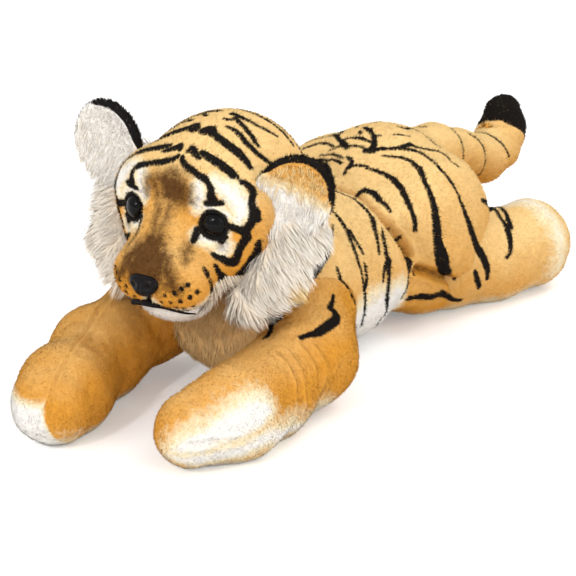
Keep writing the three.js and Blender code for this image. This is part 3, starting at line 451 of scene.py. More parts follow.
class TigerSizes(bpy.types.PropertyGroup):
    """Sizes of the stuffed parts and of their pile."""

    torso_length: length_property("Torso length", "Length of the torso from chest to rump", 0.352)
    torso_width: length_property("Torso width", "Width that the torso's lobes are shares of", 0.232)
    torso_height: length_property("Torso height", "Height that the torso's lobes are shares of", 0.176)
    head_width: length_property("Head width", "Width of the skull", 0.140)
    head_length: length_property("Head length", "Length of the skull from muzzle to nape", 0.166)
    head_height: length_property("Head height", "Height of the skull", 0.134)
    foreleg_thickness: length_property("Foreleg thickness", "Thickness of a stuffed foreleg", 0.076)
    hind_leg_thickness: length_property("Hind leg thickness", "Thickness of a stuffed hind foot", 0.086)
    tail_thickness: length_property("Tail thickness", "Thickness of the tail at its root", 0.050)
    ear_width: length_property("Ear width", "Width of an ear", 0.062)
    ear_height: length_property("Ear height", "Height of an ear", 0.072)
    eye_diameter: length_property("Eye diameter", "Diameter of an eye's dome", 0.020)
    eye_dome: length_property("Eye dome", "Height of an eye's dome over the cover", 0.007)
    nose_width: length_property("Nose width", "Width of the nose", 0.027)
    nose_height: length_property("Nose height", "Height of the nose", 0.019)
    nose_depth: length_property("Nose depth", "How far the nose stands off the muzzle", 0.007)
    pile_length: length_property("Short pile", "Length of the short pile", 0.0026)
    pile_spacing: length_property("Pile spacing", "Distance between tufts of the short pile", 0.0019)
    ruff_length: length_property("Ruff pile", "Length of the long pile on the cheeks", 0.015)
    bib_length: length_property("Bib pile", "Length of the long pile on the chest", 0.008)
    lining_length: length_property("Ear pile", "Length of the long pile in the ears", 0.009)


class TigerColours(bpy.types.PropertyGroup):
    """Colours of the pile, the print and the face."""

    tawny: colour_property("Tawny", "Ground of the back, the flanks and the head", (0.92, 0.63, 0.27))
    # Gold is the legs' own ground, and also painted shade in the hollows and where covers look down.
    gold: colour_property("Gold", "Ground of the legs and of the hollows", (0.74, 0.33, 0.045))
    cream: colour_property("Cream", "Where the ground fades to white", (0.96, 0.80, 0.52))
    white: colour_property("White", "Belly, paws, chin and patches of the face", (0.96, 0.92, 0.86))
    black: colour_property("Black", "Stripes, backs of the ears and tip of the tail", (0.009, 0.008, 0.008))
    # Brown is also painted shade along the torso's folds.
    brown: colour_property("Brown", "Mottling of the forehead and the muzzle", (0.085, 0.034, 0.011))
    ruff_white: colour_property("Ruff white", "Long pile of the cheeks and of the ears", (0.99, 0.945, 0.87))
    bib_tan: colour_property("Bib tan", "Long pile of the chest", (0.88, 0.60, 0.28))
    eye_black: colour_property("Eye black", "Moulded eyes", (0.004, 0.0035, 0.0035))
    nose_black: colour_property("Nose black", "Moulded nose", (0.007, 0.006, 0.006))
    thread_black: colour_property("Thread black", "Embroidered mouth", (0.006, 0.005, 0.005))
    washer_ivory: colour_property("Washer ivory", "Washers behind the eyes and the nose", (0.76, 0.74, 0.68))
    floor_white: colour_property("Floor white", "Paper that the toy lies on", (0.93, 0.93, 0.93))


def sizes_in_mm(context):
    """The sizes that the user set, by name, in millimetres."""
    group = context.scene.tiger_sizes
    return {name: getattr(group, name) / MM for name in TigerSizes.__annotations__}


# ---------------------------------------------------------------------------------------------------------------
# Forms: fields that give how far a point is outside of a stuffed part


def oval(at, half):
    """An oval lobe: its middle and its three half sizes."""
    return ("oval", np.array(at, float), np.array(half, float))


def rod(start, end, radii):
    """A round lobe whose radius goes straight from one end's to the other's."""
    return ("rod", np.array(start, float), np.array(end, float), radii)


def outside_lobe(points, lobe):
    """How far points are outside of a lobe.

    For an oval: with p the point over the half sizes and q that over them again, |p| (|p| - 1) / |q|.
    For a rod: the distance to the nearest place on its line, less the radius there."""
    if lobe[0] == "rod":
        _, start, end, (first, last) = lobe
        line = end - start
        share = np.clip(((points - start) @ line) / (line @ line), 0, 1)
        near = start + share[:, None] * line
        return np.linalg.norm(points - near, axis=1) - (first + (last - first) * share)
    _, at, half = lobe
    once = (points - at) / half
    one = np.sqrt(np.einsum("ij,ij->i", once, once))
    twice = once / half
    two = np.sqrt(np.einsum("ij,ij->i", twice, twice))
    return one * (one - 1) / np.maximum(two, 1e-9)


def melt(first, second, blend):
    """The lower of two fields, less a quarter of blend times the square of how near they are."""
    mix = np.maximum(blend - np.abs(first - second), 0) / blend
    return np.minimum(first, second) - mix * mix * blend / 4


def outside_form(points, form):
    """How far points are outside of a form: its lobes' fields, melted together one by one."""
    total = outside_lobe(points, form["lobes"][0])
    for lobe in form["lobes"][1:]:
        total = melt(total, outside_lobe(points, lobe), form["blend"])
    return total


def smooth_line(points, samples=800):
    """A centripetal Catmull-Rom line through points: dense points, their arc lengths and tangents."""
    p = np.array(points, float)
    n = len(p)
    before = np.vstack([2 * p[0] - p[1], p[:-2]]) if n > 2 else (2 * p[0] - p[1])[None]
    after = np.vstack([p[2:], 2 * p[-1] - p[-2]]) if n > 2 else (2 * p[-1] - p[-2])[None]
    a, b = p[:-1], p[1:]
    root = lambda v: np.maximum(np.linalg.norm(v, axis=1) ** 0.5, 1e-4)[:, None]
    d0, d1, d2 = root(a - before), root(b - a), root(after - b)
    t1 = ((a - before) / d0 - (b - before) / (d0 + d1) + (b - a) / d1) * d1
    t2 = ((b - a) / d1 - (after - a) / (d1 + d2) + (after - b) / d2) * d1
    t = np.linspace(0, 1, max(2, samples // (n - 1)), endpoint=False)[None, :, None]
    a, b, t1, t2 = (v[:, None] for v in (a, b, t1, t2))
    line = a + t1 * t + (-3 * a + 3 * b - 2 * t1 - t2) * t**2 + (2 * a - 2 * b + t1 + t2) * t**3
    line = np.vstack([line.reshape(-1, 3), p[-1:]])
    step = np.linalg.norm(np.diff(line, axis=0), axis=1)
    arc = np.concatenate([[0], np.cumsum(step)])
    tangent = np.gradient(line, axis=0)
    return line, arc, unit(tangent)


def unit(vectors):
    """Vectors made one long."""
    return vectors / np.maximum(np.linalg.norm(vectors, axis=-1, keepdims=True), 1e-12)


def spokes(sides, across, over):
    """The ways all round a circle in equal steps of t: cos(t) across + sin(t) over."""
    turn = 2 * pi * np.arange(sides) / sides
    return np.cos(turn)[:, None] * across + np.sin(turn)[:, None] * over


def reach_of(origins, directions, form, span, steps=20):
    """How far each ray goes before it leaves a form, by halving between 0 and the span."""
    near = np.zeros(len(origins))
    far = np.full(len(origins), float(span))
    for _ in range(steps):
        middle = (near + far) / 2
        inside = outside_form(origins + directions * middle[:, None], form) < 0
        near = np.where(inside, middle, near)
        far = np.where(inside, far, middle)
    return near


def skin(form, sides, rings, partner=None, fillet=0.0):
    """Wraps a form in a grid of points, rings + 1 by sides.

    Rays leave the form's spine square to it, in a circle, and fan over its two ends, so the first and
    the last row are poles. Each ray stops at the form's surface. With a partner, it stops where the two
    forms melted together end instead, but no more than the fillet further on, and that
    lengthening is averaged with its neighbours' thirty times."""
    line, arc, tangent = smooth_line(form["spine"])
    length = arc[-1]
    first, last = (radius * pi / 2 for radius in form["ends"])
    path = (first + length + last) * np.arange(rings + 1) / rings
    share = np.clip(path - first, 0, length)
    lean = (np.maximum(path - first - length, 0) / last - np.maximum(first - path, 0) / first) * pi / 2
    centre = np.stack([np.interp(share, arc, line[:, k]) for k in range(3)], 1)
    ahead = unit(np.stack([np.interp(share, arc, tangent[:, k]) for k in range(3)], 1))
    side = np.array([1.0, 0, 0])
    across = unit(side - ahead * (ahead @ side)[:, None])
    over = np.cross(across, ahead)
    ring = spokes(sides, across[:, None], over[:, None])
    rays = np.cos(lean)[:, None, None] * ring + np.sin(lean)[:, None, None] * ahead[:, None]
    rays = rays.reshape(-1, 3)
    origins = np.repeat(centre, sides, 0)
    reach = reach_of(origins, rays, form, form["span"])
    if partner is not None:
        both = dict(lobes=form["lobes"] + partner["lobes"], blend=max(form["blend"], partner["blend"]))
        more = np.clip(reach_of(origins, rays, both, form["span"] * 2) - reach, 0, fillet)
        more = more.reshape(rings + 1, sides)
        for _ in range(FILLET_ROUNDS):
            beside = np.roll(more, 1, 1) + np.roll(more, -1, 1)
            more = (more + beside + np.vstack([more[:1], more[:-1]]) + np.vstack([more[1:], more[-1:]])) / 5
        reach = reach + more.ravel()
    return (origins + rays * reach[:, None]).reshape(rings + 1, sides, 3)


def shifted(form, shift):
    """A form moved by a shift."""
    shift = np.array(shift, float)
    lobes = [
        rod(row[1] + shift, row[2] + shift, row[3]) if row[0] == "rod" else oval(row[1] + shift, row[2])
        for row in form["lobes"]
    ]
    return dict(form, lobes=lobes, spine=[np.array(p, float) + shift for p in form["spine"]])


def rested(form, sides, rings):
    """A form lowered until its lowest point is just under the floor, where it is flattened."""
    low = skin(form, sides, rings)[..., 2].min()
    return shifted(form, (0, 0, -FLOOR_FLAT - low))


def chain(points, radii, blend):
    """A form of rods from point to point."""
    lobes = [rod(*ends) for ends in zip(points, points[1:], zip(radii, radii[1:]))]
    return dict(lobes=lobes, blend=blend, spine=points, ends=(radii[0], radii[-1]), span=3 * max(radii))


def torso_place(size, side, along, up):
    """A place in the torso from its shares."""
    return np.array([side * size["torso_width"] / 2, along * size["torso_length"] - CHEST_REACH,
                     up * size["torso_height"]])


def ovals(rows, pairs, place_of, half):
    """Oval lobes from rows of shares and, on both sides, from pairs of them."""
    rows = list(rows) + [(sign * row[0], *row[1:]) for row in pairs for sign in (1, -1)]
    return [oval(place_of(row[:3]), np.array(row[3:]) * half) for row in rows]


def torso_form(size):
    """The torso: chest, nape, barrel and rump, and a pair of haunches and of shoulders."""
    half = np.array([size["torso_width"] / 2, size["torso_length"], size["torso_height"]])
    lobes = ovals(TORSO_LOBES, TORSO_PAIRS, lambda row: torso_place(size, *row), half)
    end = size["torso_height"] / 3
    spine = [torso_place(size, 0, *row) for row in TORSO_SPINE]
    form = dict(lobes=lobes, blend=TORSO_BLEND, spine=spine, ends=(end, end), span=size["torso_width"])
    return rested(form, 24, 18)


def head_form(size):
    """The head: skull, bridge and snout, and pairs of cheeks, brows, muzzle pads and temples."""
    half = np.array([size["head_width"] / 2, size["head_length"], size["head_height"]])
    lobes = ovals(HEAD_LOBES, HEAD_PAIRS, lambda row: SKULL + np.array(row) * half, half)
    end = size["head_height"] / 2
    spine = [SKULL, SKULL + np.array([0, size["head_length"] / 8, 0])]
    return dict(lobes=lobes, blend=HEAD_BLEND, spine=spine, ends=(end, end), span=size["head_length"])


def foreleg_form(size, rows):
    """A foreleg: rods from the shoulder to the paw, resting on the floor."""
    thick = size["foreleg_thickness"] / 2
    radii = [row[2] * thick for row in rows]
    points = [
        np.array([row[0] * FORELEG_SPREAD, -SHOULDER_FORWARD - row[1] * FORELEG_REACH, radius + row[3] * thick])
        for row, radius in zip(rows, radii)
    ]
    return rested(chain(points, radii, LIMB_BLEND), 16, 13)


def hind_leg_form(size, sign):
    """A hind leg: rods from the hip out to the foot, resting on the floor."""
    thick = size["hind_leg_thickness"] / 2
    radii = [row[1] * thick for row in HIND_ROWS]
    lean = radians(HIND_SPLAY)
    hip = torso_place(size, 0, HIP_ALONG, 0)[1]
    points = [
        np.array([sign * (HIND_APART / 2 + row[0] * HIND_REACH * sin(lean)),
                  hip + row[0] * HIND_REACH * cos(lean), radius])
        for row, radius in zip(HIND_ROWS, radii)
    ]
    return rested(chain(points, radii, LIMB_BLEND), 16, 13)


def tail_form(size):
    """The tail: rods that sag from the rump and rise to the tip."""
    root = torso_place(size, 0, *TAIL_ROOT)
    points = [root + np.array([0, row[0] * TAIL_REACH, row[1] * TAIL_SAG]) for row in TAIL_ROWS]
    return chain(points, [row[2] * size["tail_thickness"] / 2 for row in TAIL_ROWS], TAIL_BLEND)


def ruff_form(sign):
    """A ruff's backing: rods down the cheek, under the long pile."""
    points = [
        SKULL + np.array([sign * (RUFF_FLARE[sign] + across * RUFF_OUT), along * RUFF_SPAN, up * RUFF_SPAN])
        for across, along, up, _ in RUFF_ROWS
    ]
    return chain(points, [row[3] * RUFF_RADIUS for row in RUFF_ROWS], HEAD_BLEND)


def bare_oval(place, half):
    """A form of one oval."""
    step = np.array([0, half[1] / 8, 0])
    return dict(lobes=[oval(place, half)], blend=1, spine=[place - step, place + step],
                ends=(half[1] / 2, half[1] / 2), span=2 * max(half))


# ---------------------------------------------------------------------------------------------------------------
# Print, folds and grids


def stroke_distance(points, normal, strokes):
    """How far points are outside of the strokes of a table, below nothing inside.

    A stroke is a line whose half width goes from point to point. The distance is to the nearest place on
    a line, measured along the surface: what lies along the normal doesn't count up to PRINT_DEPTH. The
    half width there is taken off. Strokes are also laid on the other side of the toy, unless they cross
    its middle."""
    starts, ends, first, last, twin = [], [], [], [], []
    for rows in strokes.values():
        rows = np.array(rows if len(rows) > 1 else (rows[0], rows[0]), float)
        starts.append(rows[:-1, :3])
        ends.append(rows[1:, :3])
        first.append(rows[:-1, 3])
        last.append(rows[1:, 3])
        twin.append(np.full(len(rows) - 1, rows[:, 0].min() > PRINT_MIDDLE))
    starts, ends, twin = np.vstack(starts), np.vstack(ends), np.concatenate(twin)
    first, last = np.concatenate(first), np.concatenate(last)
    flat, facing = points.reshape(-1, 3), normal.reshape(-1, 3)
    found = np.full(len(flat), 1e3)
    for sign in (1, -1) if twin.any() else (1,):
        keep = twin | (sign > 0)
        start, low, high = starts[keep], first[keep], last[keep]
        line = ends[keep] - start
        square = np.maximum(np.einsum("ij,ij->i", line, line), 1e-6)
        seen, ways = flat * np.array([sign, 1, 1]), facing * np.array([sign, 1, 1])
        for at in range(0, len(flat), PRINT_CHUNK):
            part, way = seen[at:at + PRINT_CHUNK], ways[at:at + PRINT_CHUNK]
            away = part[:, None] - start
            share = np.clip(np.einsum("ijk,jk->ij", away, line) / square, 0, 1)
            away -= share[..., None] * line
            above = np.einsum("ijk,ik->ij", away, way)
            beside = np.einsum("ijk,ijk->ij", away, away) - above**2
            over = np.maximum(np.abs(above) - PRINT_DEPTH, 0)
            gap = np.sqrt(np.maximum(beside, 0) + over**2) - (low + (high - low) * share)
            found[at:at + PRINT_CHUNK] = np.minimum(found[at:at + PRINT_CHUNK], gap.min(1))
    return found.reshape(points.shape[:-1])


def waves(points, seed, size, count=10):
    """Smooth noise from about -1 to 1: sines along chance directions, with waves about one size long."""
    rng = np.random.default_rng(seed)
    ways = unit(rng.normal(size=(count, 3))) * (2 * pi / size) * rng.uniform(0.6, 1.6, (count, 1))
    phase = rng.uniform(0, 2 * pi, count)
    return np.sin(points @ ways.T + phase).sum(-1) / sqrt(count)


def rippled(grid, normal, *rows):
    """A grid moved along its normals by smooth noise: rows of a height, a seed and a wave's length."""
    return grid + normal * sum(height * waves(grid, seed, size) for height, seed, size in rows)[..., None]


def step_between(value, low, high):
    """Nothing at low, one at high, and a smooth S between."""
    share = np.clip((value - low) / (high - low), 0, 1)
    return share * share * (3 - 2 * share)


def grid_normals(grid):
    """Outward normals of a closed grid: the cross product of the steps along a row and across rows."""
    along = np.roll(grid, -1, 1) - np.roll(grid, 1, 1)
    across = np.empty_like(grid)
    across[1:-1] = grid[2:] - grid[:-2]
    across[0], across[-1] = grid[1] - grid[0], grid[-1] - grid[-2]
    normal = np.cross(along, across)
    normal[0], normal[-1] = normal[1].mean(0), normal[-2].mean(0)
    normal = unit(normal)
    middle = grid.reshape(-1, 3).mean(0)
    return normal if ((grid - middle) * normal).sum() > 0 else -normal


def at_roots(field, roots):
    """Values of a grid's field at roots, between the four corners of their cells."""
    row, side, u, v = roots
    beside = (side + 1) % field.shape[1]
    if field.ndim == 3:
        u, v = u[..., None], v[..., None]
    low = field[row, side] * (1 - u) + field[row, beside] * u
    high = field[row + 1, side] * (1 - u) + field[row + 1, beside] * u
    return low * (1 - v) + high * v


def scatter(grid, spacing, seed, where=None):
    """Roots strewn evenly over a grid, or over its cells where a mask is true: each cell gets its area over
    the spacing squared, rounded by chance, and each root a chance place in its cell."""
    rng = np.random.default_rng(seed)
    a, b = grid[:-1], grid[1:]
    c, d = np.roll(a, -1, 1), np.roll(b, -1, 1)
    area = np.linalg.norm(np.cross(d - a, c - b), axis=-1) / 2
    if where is not None:
        area = area * where[:-1]
    count = np.floor(area / spacing**2 + rng.random(area.shape)).astype(int)
    row, side = (np.repeat(index.ravel(), count.ravel()) for index in np.indices(count.shape))
    return row, side, rng.random(len(row)), rng.random(len(row))


def closed_grid(grid):
    """Points and faces of a grid whose first and last rows are poles, wound so that faces look outward."""
    rings, sides = grid.shape[0] - 1, grid.shape[1]
    points = np.vstack([grid[0].mean(0), grid[1:-1].reshape(-1, 3), grid[-1].mean(0)])
    side = np.arange(sides)
    beside = (side + 1) % sides
    row = np.arange(rings - 2)[:, None] * sides + 1
    quads = np.stack([row + side, row + beside, row + sides + beside, row + sides + side], -1).reshape(-1, 4)
    last = (rings - 2) * sides + 1
    top = len(points) - 1
    caps = np.vstack([
        np.stack([np.zeros_like(side), beside + 1, side + 1], -1),
        np.stack([np.full_like(side, top), last + side, last + beside], -1),
    ])
    corner = points[quads[:, 0]]
    turn = np.cross(points[quads[:, 1]] - corner, points[quads[:, 3]] - corner)
    if ((corner - points.mean(0)) * turn).sum() < 0:
        quads, caps = quads[:, ::-1], caps[:, ::-1]
    return points, [quads, caps]


def on_points(field):
    """A grid's field in the order of the points of closed_grid."""
    tail = field.shape[2:]
    middle = field[1:-1].reshape((-1,) + tail)
    return np.concatenate([field[0].mean(0)[None], middle, field[-1].mean(0)[None]])


def make_mesh(name, points, faces, fields=None, normals=None):
    """A mesh object from points in millimetres, index arrays of faces, and fields of its points."""
    mesh = bpy.data.meshes.new(name)
    sizes = np.concatenate([np.full(len(f), f.shape[1]) for f in faces])
    loops = np.concatenate([f.ravel() for f in faces]).astype(np.int32)
    mesh.vertices.add(len(points))
    mesh.vertices.foreach_set("co", (points * MM).astype(np.float32).ravel())
    mesh.loops.add(len(loops))
    mesh.loops.foreach_set("vertex_index", loops)
    mesh.polygons.add(len(sizes))
    mesh.polygons.foreach_set("loop_start", (np.cumsum(sizes) - sizes).astype(np.int32))
    mesh.polygons.foreach_set("use_smooth", np.ones(len(sizes), bool))
    mesh.update(calc_edges=True)
    for key, values in (fields or {}).items():
        attribute = mesh.attributes.new(key, "FLOAT", "POINT")
        attribute.data.foreach_set("value", np.ascontiguousarray(values, np.float32))
    if normals is not None:
        mesh.normals_split_custom_set_from_vertices(normals.astype(np.float32))
    thing = bpy.data.objects.new(name, mesh)
    bpy.context.scene.collection.objects.link(thing)
    return thing


def strands(name, points, faces, rise, fields, chance, normal, foot, roundness):
    """A mesh of strands that are all alike: the points of each, the faces of one, how far up each of its
    points is, fields and a chance value of each strand, and custom normals, which are the cover's with a
    share of the way from the strand's foot."""
    count, each = points.shape[:2]
    flat = points.reshape(-1, 3)
    index = np.concatenate([np.arange(count)[:, None] * each + np.array(face) for face in faces])
    made = {key: np.repeat(values, each) for key, values in fields.items()}
    made["tip"] = np.tile(np.array(rise, float), count)
    made["tuft"] = np.repeat(chance, each)
    soft = unit(np.repeat(normal, each, 0) + roundness * unit(flat - np.repeat(foot, each, 0)))
    return make_mesh(name, flat, [index], made, soft)


def three_about(line, wide, side, other):
    """Three points a third of a turn apart about each place of a line: it plus wide (cos t side + sin t other)."""
    return [line + wide * (cos(t) * side + sin(t) * other) for t in np.arange(3) * 2 * pi / 3]


def tufts(name, roots, normal, lean, fields, length, width, seed):
    """Short pile: at each root a slim closed pyramid of three sides, lying over along the nap.

    Its foot is a triangle a little under the cover. Its tip is the root plus the length times the way
    that the normal and the nap give together."""
    rng = np.random.default_rng(seed)
    count = len(roots)
    way = unit(normal * TUFT_UP + lean * TUFT_NAP + rng.normal(0, TUFT_STRAY, (count, 3)))
    side = unit(np.cross(way, rng.normal(size=(count, 3))))
    other = np.cross(way, side)
    tall = length * rng.uniform(*TUFT_LENGTHS, count)[:, None]
    wide = width * rng.uniform(*TUFT_WIDTHS, count)[:, None]
    foot = roots - normal * TUFT_FOOT
    points = np.stack([*three_about(foot, wide, side, other), roots + way * tall], 1)
    points[..., 2] = np.maximum(points[..., 2], TUFT_FLOOR)
    return strands(name, points, TUFT_FACES, (0, 0, 0, 1), fields, rng.random(count), normal, foot, TUFT_ROUND)


def lock_faces():
    """The faces of one lock: its foot, two rows of triangle pairs up its three sides, and its tip."""
    rows = [(2, 1, 0)]
    for low in (0, 3):
        rows += [(low + i, low + (i + 1) % 3, low + 3 + (i + 1) % 3) for i in range(3)]
        rows += [(low + i, low + 3 + (i + 1) % 3, low + 3 + i) for i in range(3)]
    return rows + [(6 + i, 6 + (i + 1) % 3, 9) for i in range(3)]


def locks(name, roots, normal, lean, fields, length, width, seed, clumps, raised):
    """Long pile: at each root a flat tapered lock of three short lengths, in clumps.

    The lock's line is foot (1 - t)^2 + middle 2 t (1 - t) + tip t^2. Its tip is the root plus the length
    along the way that the normal and the nap give, plus a share of it along the nap. Tips draw together
    towards the tip of the nearest clump's own lock."""
    rng = np.random.default_rng(seed)
    count = len(roots)
    way = unit(normal * raised + lean * LOCK_NAP + rng.normal(0, LOCK_STRAY, (count, 3)))
    tall = (length * rng.uniform(*LOCK_LENGTHS, count))[:, None]
    tip = roots + way * tall + lean * tall * LOCK_BEND
    heads = rng.choice(count, min(clumps, count), replace=False)
    gap = np.linalg.norm(roots[:, None] - roots[heads][None], axis=-1)
    mine = heads[gap.argmin(1)]
    tip += (tip[mine] - tip) * LOCK_GATHER * np.minimum(1, LOCK_CLUMP / np.maximum(gap.min(1), 1))[:, None]
    middle = roots + way * tall * LOCK_MIDDLE + lean * tall * LOCK_BEND * LOCK_EARLY
    side = unit(np.cross(way, normal + rng.normal(0, LOCK_TURN, (count, 3))))
    other = np.cross(way, side) * LOCK_FLAT
    foot = roots - normal * LOCK_FOOT
    points = []
    for t, share in LOCK_ROWS:
        line = foot * (1 - t) ** 2 + middle * 2 * t * (1 - t) + tip * t * t
        points += three_about(line, width * share, side, other)
    points = np.stack([*points, tip], 1)
    points[..., 2] = np.maximum(points[..., 2], LOCK_FLOOR)
    rise = [t for t, _ in LOCK_ROWS for _ in range(3)] + [1.0]
    return strands(name, points, lock_faces(), rise, fields, rng.random(count),
                   normal + np.array([0, 0, LOCK_SKY]), foot, LOCK_ROUND)


def fold(grid, normal, strokes, depth, width, lip=0.35):
    """Presses folds into a grid: down along the normal by depth on the line, fading over the width, with
    a lip beside it that is a share of the depth high."""
    away = np.maximum(stroke_distance(grid, normal, strokes), 0)
    dip = np.exp(-((away / width) ** 2)) - lip * np.exp(-(((away - 2.1 * width) / width) ** 2))
    return grid - normal * (depth * dip)[..., None]


def laid_flat(grid):
    """A grid with what is under the floor lifted on to it."""
    grid = grid.copy()
    grid[..., 2] = np.maximum(grid[..., 2], FLOOR_GAP)
    return grid


def nap_along(normal, way):
    """The part of a way that lies in the surface, one long."""
    way = np.broadcast_to(np.array(way, float), normal.shape)
    return unit(way - normal * (way * normal).sum(-1, keepdims=True))


def finer(field, shape, every):
    """A coarse grid's field on the finer grid that it was taken from, by cubic B-splines: a quarter-wave
    of four neighbours' values, first across the rows and then along them."""
    row, side = np.arange(shape[0]) / every, np.arange(shape[1]) / every
    weights = lambda t: np.stack([(1 - t)**3, 3 * t**3 - 6 * t**2 + 4, 3 * (t + t**2 - t**3) + 1, t**3]) / 6
    near = np.arange(-1, 3)[:, None]
    index = np.clip(row.astype(int) + near, 0, field.shape[0] - 1)
    field = (weights(row % 1)[..., None, None] * field[index]).sum(0)
    index = (side.astype(int) + near) % field.shape[1]
    return np.einsum("ks,rksc->rsc", weights(side % 1), field[:, index])


def stuffed(grid, normal, held, sink, cap, shrink):
    """Stuffs a cover: its grid is drawn in by sink, made coarser and blown up as cloth, and each point
    moves as its neighbours of the coarse grid did, but no further than the cap.

    The cloth is cut larger than the form by the share shrink, so that it puckers where it is held. Held
    is a field from 0, free, to 1, held fast."""
    grid = grid - normal * sink * (1 - held)[..., None]
    coarse, firm = grid[::CLOTH_EVERY, ::CLOTH_EVERY], held[::CLOTH_EVERY, ::CLOTH_EVERY]
    points, faces = closed_grid(coarse)
    thing = make_mesh("cover_blank", points, faces)
    group = thing.vertex_groups.new(name="held")
    levels = np.round(on_points(firm) * CLOTH_LEVELS).astype(int)
    for level in range(1, CLOTH_LEVELS + 1):
        group.add(np.nonzero(levels == level)[0].tolist(), level / CLOTH_LEVELS, "REPLACE")
    cloth = thing.modifiers.new("stuffing", "CLOTH")
    for key, value in CLOTH_SETTINGS.items():
        setattr(cloth.settings, key, value)
    cloth.settings.shrink_min = -shrink
    cloth.settings.vertex_group_mass = group.name
    cloth.settings.effector_weights.gravity = 0
    cloth.point_cache.frame_start, cloth.point_cache.frame_end = 1, CLOTH_FRAMES
    scene = bpy.context.scene
    first = scene.frame_current
    for number in range(1, CLOTH_FRAMES + 1):
        scene.frame_set(number)
    mesh = thing.evaluated_get(bpy.context.evaluated_depsgraph_get()).data
    found = np.empty(len(points) * 3, np.float32)
    mesh.vertices.foreach_get("co", found)
    scene.frame_set(first)
    old = thing.data
    bpy.data.objects.remove(thing)
    bpy.data.meshes.remove(old)
    move = found.reshape(-1, 3).astype(float) / MM - points
    far = np.linalg.norm(move, axis=1, keepdims=True)
    move *= cap * np.tanh(far / cap) / np.maximum(far, 1e-9)
    rings, sides = coarse.shape[:2]
    poles = [np.broadcast_to(move[end], (1, sides, 3)) for end in (0, -1)]
    field = np.concatenate([poles[0], move[1:-1].reshape(rings - 2, sides, 3), poles[1]])
    return grid + finer(field, grid.shape, CLOTH_EVERY)


# ---------------------------------------------------------------------------------------------------------------
# Finishes


class Graph:
    """The nodes of a material or of a world, added and linked one by one."""

    def __init__(self, owner):
        self.owner = owner
        owner.use_nodes = True
        self.tree = owner.node_tree
        self.tree.nodes.clear()

    def add(self, kind, values=None, **settings):
        """A node with its settings, and values or links for its inputs. Colours are three numbers."""
        node = self.tree.nodes.new(kind)
        for key, value in settings.items():
            setattr(node, key, value)
        for key, value in (values or {}).items():
            socket = node.inputs[key]
            if isinstance(value, bpy.types.NodeSocket):
                self.tree.links.new(value, socket)
            else:
                socket.default_value = (*value, 1.0) if socket.type == "RGBA" else value
        return node

    def math(self, operation, first, second, clamp=False):
        """The result of a Math node."""
        return self.add("ShaderNodeMath", {0: first, 1: second}, operation=operation, use_clamp=clamp).outputs[0]

    def plus(self, first, second, weight, clamp=False):
        """The first value plus a weight times the second."""
        return self.math("ADD", first, self.math("MULTIPLY", second, weight), clamp)

    def place(self):
        """The object's own coordinates."""
        return self.add("ShaderNodeTexCoord").outputs["Object"]

    def noise(self, scale, detail=2.0, roughness=0.5):
        """Noise on the object's own coordinates, about -1 to 1: scale is waves in a metre."""
        values = {"Vector": self.place(), "Scale": scale, "Detail": detail, "Roughness": roughness}
        fac = self.add("ShaderNodeTexNoise", values).outputs["Fac"]
        return self.math("MULTIPLY", self.math("SUBTRACT", fac, 0.5), 3.0)

    def field(self, name):
        """A field that the mesh carries."""
        return self.add("ShaderNodeAttribute", attribute_name=name).outputs["Fac"]

    def between(self, value, low, high):
        """Nothing at low, one at high, and a smooth S between."""
        values = {"Value": value, "From Min": low, "From Max": high}
        node = self.add("ShaderNodeMapRange", values, interpolation_type="SMOOTHSTEP", clamp=True)
        return node.outputs["Result"]

    def blend(self, share, first, second):
        """The first colour where the share is nothing, the second where it is one."""
        return self.add("ShaderNodeMix", {0: share, 6: first, 7: second}, data_type="RGBA").outputs[2]

    def scaled(self, colour, value):
        """A colour times a value."""
        return self.add("ShaderNodeVectorMath", {0: colour, "Scale": value}, operation="SCALE").outputs[0]

    def seen(self):
        """One for a ray from the camera or one that a gloss or glass sends on, and nothing for the others."""
        path = self.add("ShaderNodeLightPath").outputs
        seen = self.math("MAXIMUM", path["Is Camera Ray"], path["Is Glossy Ray"])
        return self.math("MAXIMUM", seen, path["Is Transmission Ray"])

    def finish(self, colour, roughness, height, depth, level):
        """The material, with a Principled shader of a colour, a roughness, a bump of a depth in metres, and
        a level of specular light."""
        bump = self.add("ShaderNodeBump", {"Strength": 1.0, "Distance": depth, "Height": height})
        shader = self.add("ShaderNodeBsdfPrincipled", {
            "Base Color": colour, "Roughness": roughness, "Specular IOR Level": level, "IOR": SURFACE_IOR,
            "Normal": bump.outputs[0],
        })
        self.add("ShaderNodeOutputMaterial", {0: shader.outputs[0]})
        return self.owner


